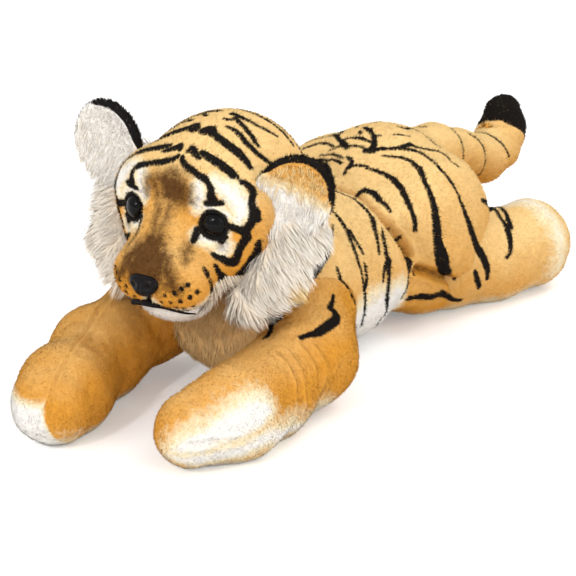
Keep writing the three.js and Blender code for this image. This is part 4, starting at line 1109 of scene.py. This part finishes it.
def plush_finish(g, colours):
    """Printed short pile: a tawny ground that turns gold on the legs and, as painted shade, in the hollows
    and where the cover looks down; it fades to cream and white, and carries mottled brown, brown painted
    shade in the torso's folds, and the black print. Roots and the cover under the tufts are painted darker
    than tips as shade in the pile, and no two tufts are alike."""
    fine, small, large = g.noise(620, 3.0, 0.65), g.noise(210), g.noise(34)
    tip, tuft = g.field("tip"), g.field("tuft")
    # Painted shade: the gold share carries the shade of creases and of surfaces that look down.
    ground = g.blend(g.plus(g.field("gold_and_shade"), large, 0.16, clamp=True), colours.tawny, colours.gold)
    pale = g.plus(g.plus(g.field("pale"), small, 2.6), large, 3.0)
    ground = g.blend(g.between(pale, 9.0, 1.0), ground, colours.cream)
    ground = g.blend(g.between(pale, 3.0, -5.0), ground, colours.white)
    brown = g.plus(g.plus(g.plus(g.field("brown"), small, 3.2), fine, 2.6), tuft, 2.5)
    ground = g.blend(g.math("MULTIPLY", g.between(brown, 8.5, -6.0), 0.94), ground, colours.brown)
    mark = g.plus(g.plus(g.field("mark"), fine, 0.8), small, 0.5)
    speck = g.plus(0.995, g.between(tuft, 0.86, 0.98), -0.09)
    colour = g.blend(g.math("MULTIPLY", g.between(mark, 0.9, -0.7), speck), ground, colours.black)
    # Painted shade: darker from tips to roots and on the cover under the tufts; the tuft and noise terms are random
    # tone.
    light = g.plus(g.plus(g.plus(g.plus(0.86, tip, 0.14), tuft, 0.14), fine, 0.06), small, 0.045)
    return g.finish(g.scaled(colour, light), 0.95, fine, FUR_BUMP, 0.05)


def pile_finish(g, colours, tint, root):
    """Long pile: tips of a tint over a darker root colour, which is painted shade deep in the pile, gold or
    black where its fields say so, with strands a little lighter or darker than others."""
    fine, large = g.noise(700, 3.0, 0.6), g.noise(45)
    tip = g.math("MULTIPLY", g.field("tip"), 0.9)
    # Painted shade: towards the roots the colour turns to the darker root colour.
    colour = g.blend(g.plus(tip, large, 0.12, clamp=True), root, getattr(colours, tint))
    gold = g.plus(g.field("gold"), large, 0.2)
    colour = g.blend(g.between(gold, 0.2, 0.9), colour, colours.tawny)
    colour = g.blend(g.between(g.math("ADD", g.field("mark"), fine), 0.8, -0.8), colour, colours.black)
    return g.finish(g.scaled(colour, g.plus(0.95, g.field("tuft"), 0.08)), 0.9, fine, FUR_BUMP, 0.05)


def moulded_finish(g, colours, tint, roughness, level, speckle):
    """Moulded plastic: one colour, a fine uneven roughness and a shallow orange peel."""
    fine = g.noise(900)
    tint = getattr(colours, tint)
    speck = [min(1, part * (1 + speckle) + 0.01) for part in tint]
    colour = g.blend(g.between(fine, 0.2, 1.4), tint, speck)
    return g.finish(colour, g.plus(roughness, fine, 0.03), fine, PEEL_BUMP, level)


def thread_finish(g, colours, tint, light):
    """Embroidery thread: a fine twist along the stitch, from one tint to a lighter one."""
    twist = g.noise(1500)
    colour = g.blend(g.between(twist, -0.5, 1.5), getattr(colours, tint), light)
    return g.finish(colour, 0.7, twist, THREAD_BUMP, 0.1)


# Finishes: what makes each, and its values.
FINISHES = {
    "printed plush": (plush_finish,),
    # The last value of each pile finish is its root colour, darker than the tint: painted shade among the locks.
    "cheek pile": (pile_finish, "ruff_white", (0.97, 0.82, 0.62)),
    "ear pile": (pile_finish, "ruff_white", (0.97, 0.87, 0.74)),
    "chest pile": (pile_finish, "bib_tan", (0.72, 0.44, 0.18)),
    "eye gloss": (moulded_finish, "eye_black", 0.04, 0.12, 0.0),
    "nose satin": (moulded_finish, "nose_black", 0.32, 0.1, 0.6),
    "mouth thread": (thread_finish, "thread_black", (0.02, 0.017, 0.016)),
    "washer plastic": (moulded_finish, "washer_ivory", 0.5, 0.5, 0.05),
}


def finish_of(name, context):
    """The finish of a name, made the first time that it is asked for."""
    found = bpy.data.materials.get(name)
    if found is None:
        maker, *values = FINISHES[name]
        found = maker(Graph(bpy.data.materials.new(name)), context.scene.tiger_colours, *values)
    return found


# ---------------------------------------------------------------------------------------------------------------
# Pieces


def plush_fields(points, normal, strokes=None, pale=None, brown=None, white=None, gold_and_shade=0.0, bold=0.9):
    """The fields that the printed plush reads at points: mark, pale and brown are distances in
    millimetres to the print's strokes, the first made wider by bold, pale also to a white region, and
    the share of gold is the piece's own gold ground plus painted shade, more where the cover looks down."""
    far = np.full(points.shape[:-1], float(PRINT_HIGH))
    made = {
        "mark": stroke_distance(points, normal, strokes) * 0.8 - bold if strokes else far,
        "pale": stroke_distance(points, normal, pale) if pale else far,
        "brown": stroke_distance(points, normal, brown) if brown else far,
    }
    if white is not None:
        made["pale"] = np.minimum(made["pale"], white)
    made = {key: np.clip(value, PRINT_LOW, PRINT_HIGH) for key, value in made.items()}
    # Painted shade: the ground turns gold where the cover looks down.
    made["gold_and_shade"] = np.clip(gold_and_shade + 0.62 * (0.85 - normal[..., 2]), 0, 1)
    return made


def placed(context, thing, finish, body, join=None):
    """Gives a piece its finish and lets it ride on a body. With a join, the piece's transform is only
    baked into its mesh; the join's body and its places in millimetres are not used."""
    thing.data.materials.append(finish_of(finish, context))
    if join is None:
        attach(thing, body)
    else:
        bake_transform(thing)


def plush_piece(context, name, grid, fields, body, nodes, nap, seed, join=None, length=1.0,
                close=1.0):
    """A stuffed skin and its short pile, as two pieces that ride on one body, or are baked in place where there is a
    join.
    """
    size = sizes_in_mm(context)
    normal = grid_normals(grid)
    points, faces = closed_grid(grid)
    kept = {key: on_points(values) for key, values in fields.items()}
    # The cover reads as the tufts' roots, so it is painted darker: shade under the pile.
    kept["tip"] = np.full(len(points), 0.1)
    kept["tuft"] = np.full(len(points), 0.4)
    cover = make_mesh(name, points, faces, kept)
    spacing = size["pile_spacing"] * close * 1.0
    roots = scatter(grid, spacing, seed)
    way = unit(at_roots(normal, roots))
    lean = nap_along(way, at_roots(np.broadcast_to(np.array(nap, float), grid.shape), roots))
    pile = tufts(
        name.replace("_plush", "_pile"), at_roots(grid, roots), way, lean,
        {key: at_roots(values, roots) for key, values in fields.items()},
        size["pile_length"] * length, spacing * TUFT_SLIM, seed + 1,
    )
    for thing in (cover, pile):
        placed(context, thing, "printed plush", body, join)
    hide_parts(*nodes)


def long_pile(name, grid, roots, nap, gold, length, width, seed, clumps, raised):
    """Locks at a grid's roots that lie along the nap, golden by a share from 0 to 1."""
    way = unit(at_roots(grid_normals(grid), roots))
    fields = {"mark": np.full(len(way), NO_MARK), "gold": gold + np.zeros(len(way))}
    return locks(name, at_roots(grid, roots), way, nap_along(way, nap), fields, length, width, seed, clumps, raised)


def lock_roots(grid, spacing, seed, where=None):
    return scatter(grid, spacing * (1), seed, where)


class PLUSH_OT_torso(bpy.types.Operator):
    """Makes the torso's printed cover, its folds at the waist and the haunches, and its pile"""

    bl_idname = "plush.torso"
    bl_label = "Torso"

    def execute(self, context):
        size = sizes_in_mm(context)
        grid = skin(torso_form(size), 320, 260)
        normal = grid_normals(grid)
        along = grid[..., 1]
        limit = BELLY_LIMIT * (1 - step_between(along, 20, 60))
        limit = limit + FLANK_LIMIT * step_between(along, -130, -60) * (1 - step_between(along, 10, 50))
        fields = plush_fields(grid, normal, {**BODY_STRIPES, **SHOULDER_STRIPES}, white=(grid[..., 2] - limit) * 0.5,
                              bold=0.6)
        folds = np.maximum(stroke_distance(grid, normal, TORSO_FOLDS), 0)
        # Painted shade in the creases: the ground turns gold, and a brown line runs along the waist and haunch folds.
        fields["gold_and_shade"] = np.clip(fields["gold_and_shade"] + 0.5 * np.exp(-((folds / 5) ** 2)), 0, 1)
        fields["brown"] = np.minimum(fields["brown"], 3.5 * folds - 1.5)
        held = np.maximum(1 - folds / 9, step_between(grid[..., 2], 4, 1))
        grid = stuffed(grid, normal, held, 1.5, 5.0, 0.03)
        grid = rippled(grid, normal, (0.6, 3, 70), (0.2, 4, 26))
        grid = fold(grid, normal, TORSO_FOLDS, 5.0, 9.0)
        grid = fold(grid, normal, TORSO_FOLDS, 7.0, 3.0, lip=0.25)
        grid = laid_flat(self.under_limbs(size, grid, normal))
        plush_piece(context, "torso_plush", grid, fields, "torso", ("torso_cover", "torso_stuffing"),
                    (0, 1, -0.4), 11, close=1.08)
        return {"FINISHED"}

    def under_limbs(self, size, grid, normal):
        """The grid drawn in where a limb covers it."""
        limbs = [foreleg_form(size, rows) for rows in (LEFT_FORELEG, RIGHT_FORELEG)]
        limbs += [hind_leg_form(size, sign) for sign in (1, -1)]
        under = np.min([outside_form(grid.reshape(-1, 3), form) for form in limbs], 0).reshape(grid.shape[:2])
        return grid - normal * (3.5 * step_between(under, 1.0, -4.0))[..., None]


class PLUSH_OT_head(bpy.types.Operator):
    """Makes the head's printed cover with its marks and patches, the chin, and their pile"""

    bl_idname = "plush.head"
    bl_label = "Head and chin"

    def execute(self, context):
        size = sizes_in_mm(context)
        grid = skin(head_form(size), 300, 240, torso_form(size), 10.0)
        normal = grid_normals(grid)
        side, up = EYE_APART / 2, SKULL[2] - EYE_DROP
        hollow = np.min([np.linalg.norm(grid - np.array([s * side, HOLLOW_FRONT, up]), axis=-1) for s in (1, -1)], 0)
        grid = grid - normal * (HOLLOW_DEPTH * np.exp(-((hollow / HOLLOW_WIDTH) ** 2)))[..., None]
        grid = fold(grid, normal, CLEFT, 2.2, 3.0)
        normal = grid_normals(grid)
        spots = {f"spot_{at}": (row,) for at, row in enumerate(FACE_SPOTS)}
        rims = {"eye_rim": ((side, EYE_RIM[0], up, EYE_RIM[1]),)}
        fields = plush_fields(grid, normal, {**FACE_STRIPES, **spots, **NAPE_STRIPES, **rims}, FACE_PALE,
                              FACE_BROWN, bold=1.2)
        face = step_between(grid[..., 1], -175, -215) * step_between(grid[..., 2], 222, 200)
        fields["gold_and_shade"] = np.clip(fields["gold_and_shade"] + 0.45 * face, 0, 1)
        way = grid - PARTING_PLACE
        radial = unit(way - normal * (way * normal).sum(-1, keepdims=True)) + np.array([0, 0.3, -0.25])
        plush_piece(context, "head_plush", grid, fields, "head", ("head_cover", "head_stuffing"),
                    radial, 21, join=("torso", *NECK_BEND), length=0.85)
        self.chin(context)
        self.jaw_fringe(context, size, grid)
        return {"FINISHED"}

    def chin(self, context):
        """The chin: white, with the ends of the mouth's lines on it."""
        grid = skin(bare_oval(CHIN_PLACE, CHIN_HALF), 120, 90)
        lines = {key: FACE_STRIPES[key] for key in ("mouth", "nose_line")}
        fields = plush_fields(grid, grid_normals(grid), lines, white=-10.0)
        fields["gold_and_shade"] *= 0.2
        plush_piece(context, "chin_plush", grid, fields, "head", ("lower_jaw",), (0, 0.4, -1), 31,
                    length=0.9)

    def jaw_fringe(self, context, size, grid):
        """White pile at the corners of the jaw, between the chin and the ruffs."""
        away = np.linalg.norm(grid[..., 1:] - JAW_CORNER, axis=-1)
        patch = (away < JAW_REACH) & (np.abs(np.abs(grid[..., 0]) - JAW_OUT) < JAW_WIDTH)
        roots = lock_roots(grid, 1.6, 33, patch)
        nap = np.array([0, 0.25, -0.9]) + np.sign(at_roots(grid, roots)[:, :1]) * np.array([0.35, 0, 0])
        pile = long_pile("jaw_fringe_pile", grid, roots, nap, 0, size["ruff_length"], 0.6, 34, 60, 0.3)
        placed(context, pile, "cheek pile", "head")


def dome(place, forward, radius, height, rim, sides=64, rings=28):
    """A moulded dome on a short wall, as a closed grid: an ellipse's quarter from the crown to the rim,
    then a cylinder down into the cover, and its flat back."""
    turn = np.linspace(0, pi / 2, rings)
    profile = [(radius * sin(a), height * cos(a)) for a in turn]
    profile += [(radius, -rim * share) for share in (0.3, 0.7, 0.95)]
    profile += [(radius * share, -rim) for share in (0.95, 0.5, 0.0)]
    profile = np.array(profile)
    forward = unit(np.array(forward, float))
    side = unit(np.cross(forward, (0, 0, 1)))
    over = np.cross(side, forward)
    out, along = profile.T[..., None, None]
    return place + out * spokes(sides, side, over) + along * forward


def face_ray(size, origin, direction):
    """Where a ray from inside of the head leaves its form."""
    origin, direction = np.array([origin], float), unit(np.array([direction], float))
    return (origin + direction * reach_of(origin, direction, head_form(size), size["head_length"])[:, None])[0]


def tube(line, radii, sides=10):
    """A closed tube round a line, whose radius goes down to its two ends."""
    tangent = unit(np.gradient(line, axis=0))
    side = unit(np.cross(tangent, (0.1, 0.2, 1.0)))
    over = np.cross(side, tangent)
    return line[:, None] + spokes(sides, side[:, None], over[:, None]) * radii[:, None, None]


class PLUSH_OT_face(bpy.types.Operator):
    """Makes the moulded eyes and nose and the embroidered mouth"""

    bl_idname = "plush.face"
    bl_label = "Eyes, nose and mouth"

    def execute(self, context):
        size = sizes_in_mm(context)
        for sign, name in ((1, "left_eye"), (-1, "right_eye")):
            seat = face_ray(size, (sign * EYE_APART / 2, SKULL[1], SKULL[2] - EYE_DROP), (0, -1, 0))
            splay = radians(EYE_SPLAY)
            grid = dome(seat + np.array([0, EYE_SEAT, 0]), (sign * sin(splay), -cos(splay), EYE_SKY),
                        size["eye_diameter"] / 2, size["eye_dome"], EYE_WALL)
            thing = make_mesh(name + "_dome", *closed_grid(grid))
            placed(context, thing, "eye gloss", "head")
            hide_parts(name)
        thing = make_mesh("nose_moulded", *closed_grid(self.nose(size)))
        placed(context, thing, "nose satin", "head")
        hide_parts("nose")
        thing = make_mesh("mouth_thread", *closed_grid(self.mouth()))
        placed(context, thing, "mouth thread", "head")
        return {"FINISHED"}

    def nose(self, size):
        """The nose: a rounded triangle, broad above, whose face swells and has two nostrils.

        Its outline's radius is a circle's plus a third and a small second harmonic. Its height over the
        muzzle is the depth times a flat-topped curve of the share of the radius, less two round dips and
        a groove."""
        rings, sides = 40, 96
        share = np.concatenate([np.linspace(0, 1, rings), np.full(4, 1.0), np.linspace(0.8, 0, 3)])
        back = np.concatenate([np.zeros(rings), np.linspace(2, 6, 4), np.full(3, 6.0)])
        turn = 2 * pi * np.arange(sides) / sides
        outline = 1 + 0.10 * np.sin(3 * turn) + 0.04 * np.cos(2 * turn)
        x = size["nose_width"] / 2 * share[:, None] * outline * np.cos(turn)
        z = size["nose_height"] / 2 * share[:, None] * outline * np.sin(turn)
        rise = size["nose_depth"] * (1 - share**3.2)[:, None] ** 0.6 * np.ones(sides)
        for sign in (1, -1):
            away = ((x - sign * 6.6) / 3.2) ** 2 + ((z + 1.2) / 2.2) ** 2
            rise = rise - 2.4 * np.exp(-away)
        rise = rise - 0.8 * np.exp(-((x / 1.2) ** 2)) * (z < 2) - back[:, None]
        tilt = radians(NOSE_TILT)
        out = np.array([0, -cos(tilt), sin(tilt)])
        up = np.array([0, sin(tilt), cos(tilt)])
        return NOSE_PLACE + x[..., None] * np.array([1.0, 0, 0]) + z[..., None] * up + rise[..., None] * out

    def mouth(self):
        """The mouth's thread: a tube along its line, slim at both ends.

        Its radius is 0.5 plus 2.6 times a sine's half wave, drawn to the start by a power of the share of
        the line, times a value that falls evenly with that share."""
        line, _, _ = smooth_line(MOUTH_LINE, 160)
        share = np.linspace(0, 1, len(line))
        swell = np.sin(pi * share ** 0.6) ** 0.6 * (1.15 - 0.9 * share)
        return tube(line, 0.5 + 2.6 * swell)


def ear_frame(sign):
    """An ear's place and its three ways: across, front to back, and up."""
    roll, yaw = radians(EAR_ROLL[sign]) * sign, radians(EAR_YAW[sign]) * sign
    turn_y = np.array([[cos(roll), 0, sin(roll)], [0, 1, 0], [-sin(roll), 0, cos(roll)]])
    turn_z = np.array([[cos(yaw), -sin(yaw), 0], [sin(yaw), cos(yaw), 0], [0, 0, 1]])
    ways = (turn_z @ turn_y).T
    place = SKULL + np.array([sign * EAR_OUT[sign], -EAR_FORWARD, EAR_RISE[sign]])
    return place, ways


def ear_shell(size, sign, sides, rings):
    """An ear as a closed grid: a profile of share of the oval and depth, carried round it. The front is
    hollow inside of a soft rim, and the back is full. It is given in place and also lying flat."""
    place, ways = ear_frame(sign)
    line, _, _ = smooth_line(np.stack([EAR_SHARES, EAR_DEPTHS, EAR_DEPTHS * 0], 1), 4000)
    spot = np.linspace(0, 1, len(line))
    along = np.linspace(0, 1, rings + 1)
    share, depth = (np.interp(along, spot, line[:, k])[:, None] for k in (0, 1))
    turn = 2 * pi * np.arange(sides) / sides
    x = size["ear_width"] / 2 * share * np.cos(turn)
    z = size["ear_height"] / 2 * share * np.sin(turn)
    flat = np.stack([x, depth * np.ones(sides), z], -1)
    return place + flat @ ways, flat


class PLUSH_OT_ears(bpy.types.Operator):
    """Makes the ears: plush backs with a black rim, and white pile in their hollows"""

    bl_idname = "plush.ears"
    bl_label = "Ears"

    def execute(self, context):
        size = sizes_in_mm(context)
        for sign, name in ((1, "left_ear"), (-1, "right_ear")):
            self.ear(context, size, sign, name)
        return {"FINISHED"}

    def ear(self, context, size, sign, name):
        """One ear. Its black goes by how high a point is over its rim's start. The left ear has a golden
        patch on its front, and the right has none."""
        grid, flat = ear_shell(size, sign, 150, 110)
        normal = grid_normals(grid)
        across, _, up = ear_frame(sign)[1]
        row = np.arange(len(grid)) / (len(grid) - 1)
        behind = (row - EAR_RIM_AT)[:, None] * EAR_ROUND + 0 * flat[..., 0]
        wide, tall, start = EAR_RIM[sign]
        high = wide * flat[..., 0] + tall * flat[..., 2]
        edge = 5 + 14 * step_between(high, start, start + 9)
        black = np.maximum(6.0 - (high + 14) * 0.6 + 3 * waves(flat, 5, 22), -(behind + edge) * 0.6)
        white = np.maximum((behind + 1) * 3, high - 2 if sign > 0 else -20.0)
        fields = plush_fields(grid, normal, white=white)
        fields["mark"] = np.clip(black, -20, 20)
        joint = np.array(EAR_JOINT[sign], float)
        inward = unit(SKULL + np.array([0, -20, 0]) - joint)
        join = ("head", joint + inward * EAR_BEND[0], joint - inward * EAR_BEND[1])
        plush_piece(context, name + "_plush", grid, fields, name, (name + "_back",),
                    up * 1.2, 41 + sign, join=join, length=1.2)
        roots = lock_roots(grid, 1.8, 45 + sign, behind < -edge)
        rise = at_roots(high, roots)
        lining = long_pile(
            name + "_lining_pile", grid, roots, sign * 0.64 * across - 0.77 * up,
            0.85 * step_between(rise, -9, 12) if sign > 0 else 0,
            size["lining_length"] * (1 - 0.5 * step_between(rise, -8, 10)), 0.55, 47 + sign, 60, 0.22,
        )
        placed(context, lining, "ear pile", name, join)
        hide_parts(name + "_lining")


def shaggy_piece(context, name, grid, body, node, finish, nap, length, spacing, seed, clumps, gold=None):
    """A backing and its long pile, as two pieces that ride on one body. Gold is a function of places."""
    points, faces = closed_grid(grid)
    # The backing reads partly as the locks' roots, in their darker colour: painted shade under the pile.
    plain = {"tip": 0.25, "tuft": 0.4, "mark": NO_MARK, "gold": 0.0}
    backing = make_mesh(name + "_backing", points, faces,
                        {key: np.full(len(points), value) for key, value in plain.items()})
    roots = lock_roots(grid, spacing, seed)
    golden = gold(at_roots(grid, roots)) if gold else 0
    pile = long_pile(name + "_pile", grid, roots, nap, golden, length, 0.6, seed + 1, clumps, 0.24)
    for thing in (backing, pile):
        placed(context, thing, finish, body)
    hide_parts(node)


class PLUSH_OT_long_pile(bpy.types.Operator):
    """Makes the long pile of the cheeks and of the chest"""

    bl_idname = "plush.long_pile"
    bl_label = "Cheek ruffs and chest bib"

    def execute(self, context):
        size = sizes_in_mm(context)
        for sign, name in ((1, "left_cheek_ruff"), (-1, "right_cheek_ruff")):
            grid = skin(ruff_form(sign), 90, 90)
            grid = grid + 2.0 * grid_normals(grid)
            shaggy_piece(
                context, name, grid, "head", name, "cheek pile", (sign * 0.75, 0.3, -0.9),
                size["ruff_length"], 1.9, 51 + sign, 100,
                lambda p: 0.9 * step_between(np.abs(p[:, 0]), 84, 98) * step_between(p[:, 2], 150, 120),
            )
        shaggy_piece(
            context, "chest_bib", skin(bare_oval(BIB_PLACE, BIB_HALF), 110, 90), "torso", "chest_bib",
            "chest pile", (0, -0.2, -1.0), size["bib_length"], 2.0, 61, 200,
        )
        return {"FINISHED"}


def limb_hold(grid, normal, joint, strokes):
    """Where a limb's cover is held: near its joint, along its folds or seams, and on the floor."""
    away = np.linalg.norm(grid - np.array(joint), axis=-1)
    line = np.maximum(stroke_distance(grid, normal, strokes), 0)
    held = np.maximum(1 - line / 7, step_between(grid[..., 2], 4, 1))
    return np.clip(np.maximum(held, step_between(away, 60, 40)), 0, 1)


def leg_piece(context, name, grid, fields, nap, seed, joint, bend, length, close):
    """A leg's skin and pile, laid on the floor; the joint and the bend make a join at the torso's seam, which only
    has them baked in place.
    """
    joint = np.array(joint)
    plush_piece(context, name + "_plush", laid_flat(grid), fields, name, (name + "_cover", name + "_stuffing"),
                nap, seed, join=("torso", joint, joint + bend), length=length, close=close)


class PLUSH_OT_forelegs(bpy.types.Operator):
    """Makes the stretched forelegs with their creased elbow, seams and white paws"""

    bl_idname = "plush.forelegs"
    bl_label = "Forelegs"

    def execute(self, context):
        size = sizes_in_mm(context)
        for sign, name, rows, pale, seams, crease in (
            (1, "front_left_leg", LEFT_FORELEG, PAW_PALE, LEFT_SEAMS, (1.6, 2.0)),
            (-1, "front_right_leg", RIGHT_FORELEG, None, RIGHT_SEAMS, (1.2, 1.3)),
        ):
            grid = skin(foreleg_form(size, rows), 200, 200, torso_form(size), 4.0)
            normal = grid_normals(grid)
            held = limb_hold(grid, normal, SHOULDER_JOINT[sign], seams)
            white = grid[..., 2] - 7 + 12 * step_between(grid[..., 1], -230, -150)
            fields = plush_fields(grid, normal, BODY_STRIPES, pale, white=white, gold_and_shade=0.7)
            if sign == 1:
                fields["pale"] = fields["pale"] * np.where(fields["pale"] < 0, 0.85, 0.4) + 2.6
            else:
                fields["pale"] = np.minimum(fields["pale"] * 0.5 + 2, self.right_paw(grid))
            grid = stuffed(grid, normal, held, 0.6, 2.5, 0.01)
            grid = rippled(grid, normal, (0.5, 70 + sign, 48), (0.15, 71, 20))
            grid = fold(grid, normal, seams, *crease)
            bend = np.array([sign * SHOULDER_BEND[0], *SHOULDER_BEND[1:]])
            leg_piece(context, name, grid, fields, (0, -1, -0.5), 75 + sign * 2, SHOULDER_JOINT[sign], bend,
                      0.75, 0.78)
        return {"FINISHED"}

    def right_paw(self, grid):
        """How far points are outside of the right paw's white patch, which is on the outer side of its
        sloping seam, under 44 mm and before 308 mm from the middle."""
        seam = grid[..., 0] + 35 + 0.12 * (grid[..., 2] - 30)
        return np.max([seam * 3, grid[..., 2] - 44, grid[..., 1] + 308], 0) * 1.2


class PLUSH_OT_hind_legs(bpy.types.Operator):
    """Makes the splayed hind legs, gold above and pale on their feet"""

    bl_idname = "plush.hind_legs"
    bl_label = "Hind legs"

    def execute(self, context):
        size = sizes_in_mm(context)
        splay = radians(HIND_SPLAY)
        for sign, name in ((1, "hind_left_leg"), (-1, "hind_right_leg")):
            grid = skin(hind_leg_form(size, sign), 200, 152, torso_form(size), 9.0)
            normal = grid_normals(grid)
            joint = np.array([sign * HIP_JOINT[0], *HIP_JOINT[1:]])
            held = limb_hold(grid, normal, joint, HIND_HOLD)
            fields = plush_fields(grid, normal, BODY_STRIPES, FOOT_PALE, white=grid[..., 2] - 2, gold_and_shade=-0.05)
            fields["pale"] = fields["pale"] * 0.4 + 2.0
            fields["gold_and_shade"] = np.minimum(fields["gold_and_shade"], 0.62)
            grid = stuffed(grid, normal, held, 0.6, 2.5, 0.01)
            grid = rippled(grid, normal, (0.5, 80 + sign, 50), (0.15, 81, 22))
            bend = HIP_BEND * np.array([sign * sin(splay), cos(splay), 0])
            leg_piece(context, name, grid, fields, (sign * 0.4, 1, -0.5), 85 + sign * 2, joint, bend, 0.8, 0.85)
        return {"FINISHED"}


class PLUSH_OT_tail(bpy.types.Operator):
    """Makes the tail with its bands and its black tip"""

    bl_idname = "plush.tail"
    bl_label = "Tail"

    def execute(self, context):
        size = sizes_in_mm(context)
        grid = skin(tail_form(size), 130, 220, torso_form(size), 8.0)
        normal = grid_normals(grid)
        grid = rippled(grid, normal, (0.5, 91, 30))
        fields = plush_fields(grid, normal, {**TAIL_STRIPES, **TAIL_BARS})
        before = -((grid - TIP_PLACE) @ TIP_WAY) + 0.8 * waves(grid, 92, 16)
        fields["mark"] = np.minimum(fields["mark"], np.where(grid[..., 1] > TIP_FROM, before, 30))
        joint = np.array(TAIL_JOINT)
        plush_piece(context, "tail_plush", grid, fields, "tail", ("tail_cover", "tail_stuffing", "tail_tip"),
                    (0, 1, 0.1), 95, join=("torso", joint, joint + np.array(TAIL_BEND)))
        return {"FINISHED"}


class PLUSH_OT_fittings(bpy.types.Operator):
    """Gives the washers behind the eyes and the nose their moulded finish"""

    bl_idname = "plush.fittings"
    bl_label = "Washers"

    def execute(self, context):
        finish = finish_of("washer plastic", context)
        for name in ("left_eye_washer", "right_eye_washer", "nose_washer"):
            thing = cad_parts[name]
            for slot in thing.material_slots:
                slot.material = finish
            if not thing.material_slots:
                thing.data.materials.append(finish)
        return {"FINISHED"}


class PLUSH_OT_stage(bpy.types.Operator):
    """Makes the pale floor, the soft studio light and the camera at the photograph's angle"""

    bl_idname = "plush.stage"
    bl_label = "Floor, light and camera"

    def execute(self, context):
        scene = context.scene
        self.floor(context)
        self.world(scene)
        look = Vector(LOOK_AT)
        for name, (place, watts, wide, tint) in LAMPS.items():
            lamp = bpy.data.lights.new(name, "AREA")
            lamp.energy, lamp.size, lamp.color = watts, wide, tint
            self.aimed(scene, name, lamp, Vector(place), look - Vector(place))
        azimuth, elevation = radians(CAMERA_AZIMUTH), radians(CAMERA_ELEVATION)
        back = Vector((sin(azimuth) * cos(elevation), -cos(azimuth) * cos(elevation), sin(elevation)))
        lens = bpy.data.cameras.new("photograph's view")
        lens.lens, lens.sensor_width, lens.clip_start = CAMERA_LENS, CAMERA_SENSOR, CAMERA_NEAR
        scene.camera = self.aimed(scene, "photograph's view", lens, look + back * CAMERA_DISTANCE, -back)
        scene.view_settings.view_transform = "Standard"
        return {"FINISHED"}

    def aimed(self, scene, name, data, place, way):
        """A lamp or a camera at a place, turned to look along a way."""
        thing = bpy.data.objects.new(name, data)
        scene.collection.objects.link(thing)
        thing.location = place
        thing.rotation_euler = way.to_track_quat("-Z", "Y").to_euler()
        return thing

    def floor(self, context):
        """White paper: diffuse under the lamps, and a little of its own light for the camera alone."""
        corners = [(x, y, 0) for x, y in ((-1, -1), (1, -1), (1, 1), (-1, 1))]
        thing = make_mesh("floor", np.array(corners) * FLOOR_REACH, [np.array([[0, 1, 2, 3]])])
        g = Graph(bpy.data.materials.new("white paper"))
        tint = tuple(context.scene.tiger_colours.floor_white)
        colour = g.blend(g.between(g.noise(300), -1.5, 1.5), tint, [part * 0.985 for part in tint])
        diffuse = g.add("ShaderNodeBsdfDiffuse", {"Color": colour})
        away = g.add("ShaderNodeVectorMath", {0: g.place()}, operation="LENGTH").outputs["Value"]
        strength = g.plus(0.25, g.between(away, 0.5, 1.6), 0.9)
        glow = g.add("ShaderNodeEmission", {"Strength": g.math("MULTIPLY", g.seen(), strength)})
        total = g.add("ShaderNodeAddShader", {0: diffuse.outputs[0], 1: glow.outputs[0]})
        g.add("ShaderNodeOutputMaterial", {0: total.outputs[0]})
        thing.data.materials.append(g.owner)

    def world(self, scene):
        """A white surround for the camera and for reflections, and a dimmer one for the light."""
        g = Graph(bpy.data.worlds.new("white studio"))
        soft, white = (
            g.add("ShaderNodeBackground", {"Color": (1, 1, 1), "Strength": strength}).outputs[0]
            for strength in (STUDIO_LIGHT, 1.0)
        )
        mix = g.add("ShaderNodeMixShader", {0: g.seen(), 1: soft, 2: white})
        g.add("ShaderNodeOutputWorld", {0: mix.outputs[0]})
        scene.world = g.owner


class PLUSH_PT_panel(bpy.types.Panel):
    """Lists the sizes, the colours and the steps that make the toy"""

    bl_idname = "PLUSH_PT_panel"
    bl_label = "Tiger cub"
    bl_space_type = "VIEW_3D"
    bl_region_type = "UI"
    bl_category = "Tiger cub"

    def draw(self, context):
        for group in (context.scene.tiger_sizes, context.scene.tiger_colours):
            box = self.layout.box()
            for name in group.bl_rna.properties.keys():
                if name not in ("rna_type", "name"):
                    box.prop(group, name)
        for step in STEPS:
            self.layout.operator(step.bl_idname)


STEPS = (
    PLUSH_OT_torso, PLUSH_OT_head, PLUSH_OT_face, PLUSH_OT_ears, PLUSH_OT_long_pile, PLUSH_OT_forelegs,
    PLUSH_OT_hind_legs, PLUSH_OT_tail, PLUSH_OT_fittings, PLUSH_OT_stage,
)
CLASSES = (TigerSizes, TigerColours, *STEPS, PLUSH_PT_panel)


def register():
    """Adds the classes and the scene's two groups of properties."""
    for item in CLASSES:
        bpy.utils.register_class(item)
    bpy.types.Scene.tiger_sizes = bpy.props.PointerProperty(type=TigerSizes)
    bpy.types.Scene.tiger_colours = bpy.props.PointerProperty(type=TigerColours)


def unregister():
    """Takes the properties and the classes away again."""
    del bpy.types.Scene.tiger_sizes
    del bpy.types.Scene.tiger_colours
    for item in reversed(CLASSES):
        bpy.utils.unregister_class(item)


def main():
    """Makes the toy and its stage."""
    register()
    for step in STEPS:
        family, name = step.bl_idname.split(".")
        if getattr(getattr(bpy.ops, family), name)() != {"FINISHED"}:
            raise RuntimeError(f"{step.bl_label} didn't finish")


if __name__ == "__main__":
    main()
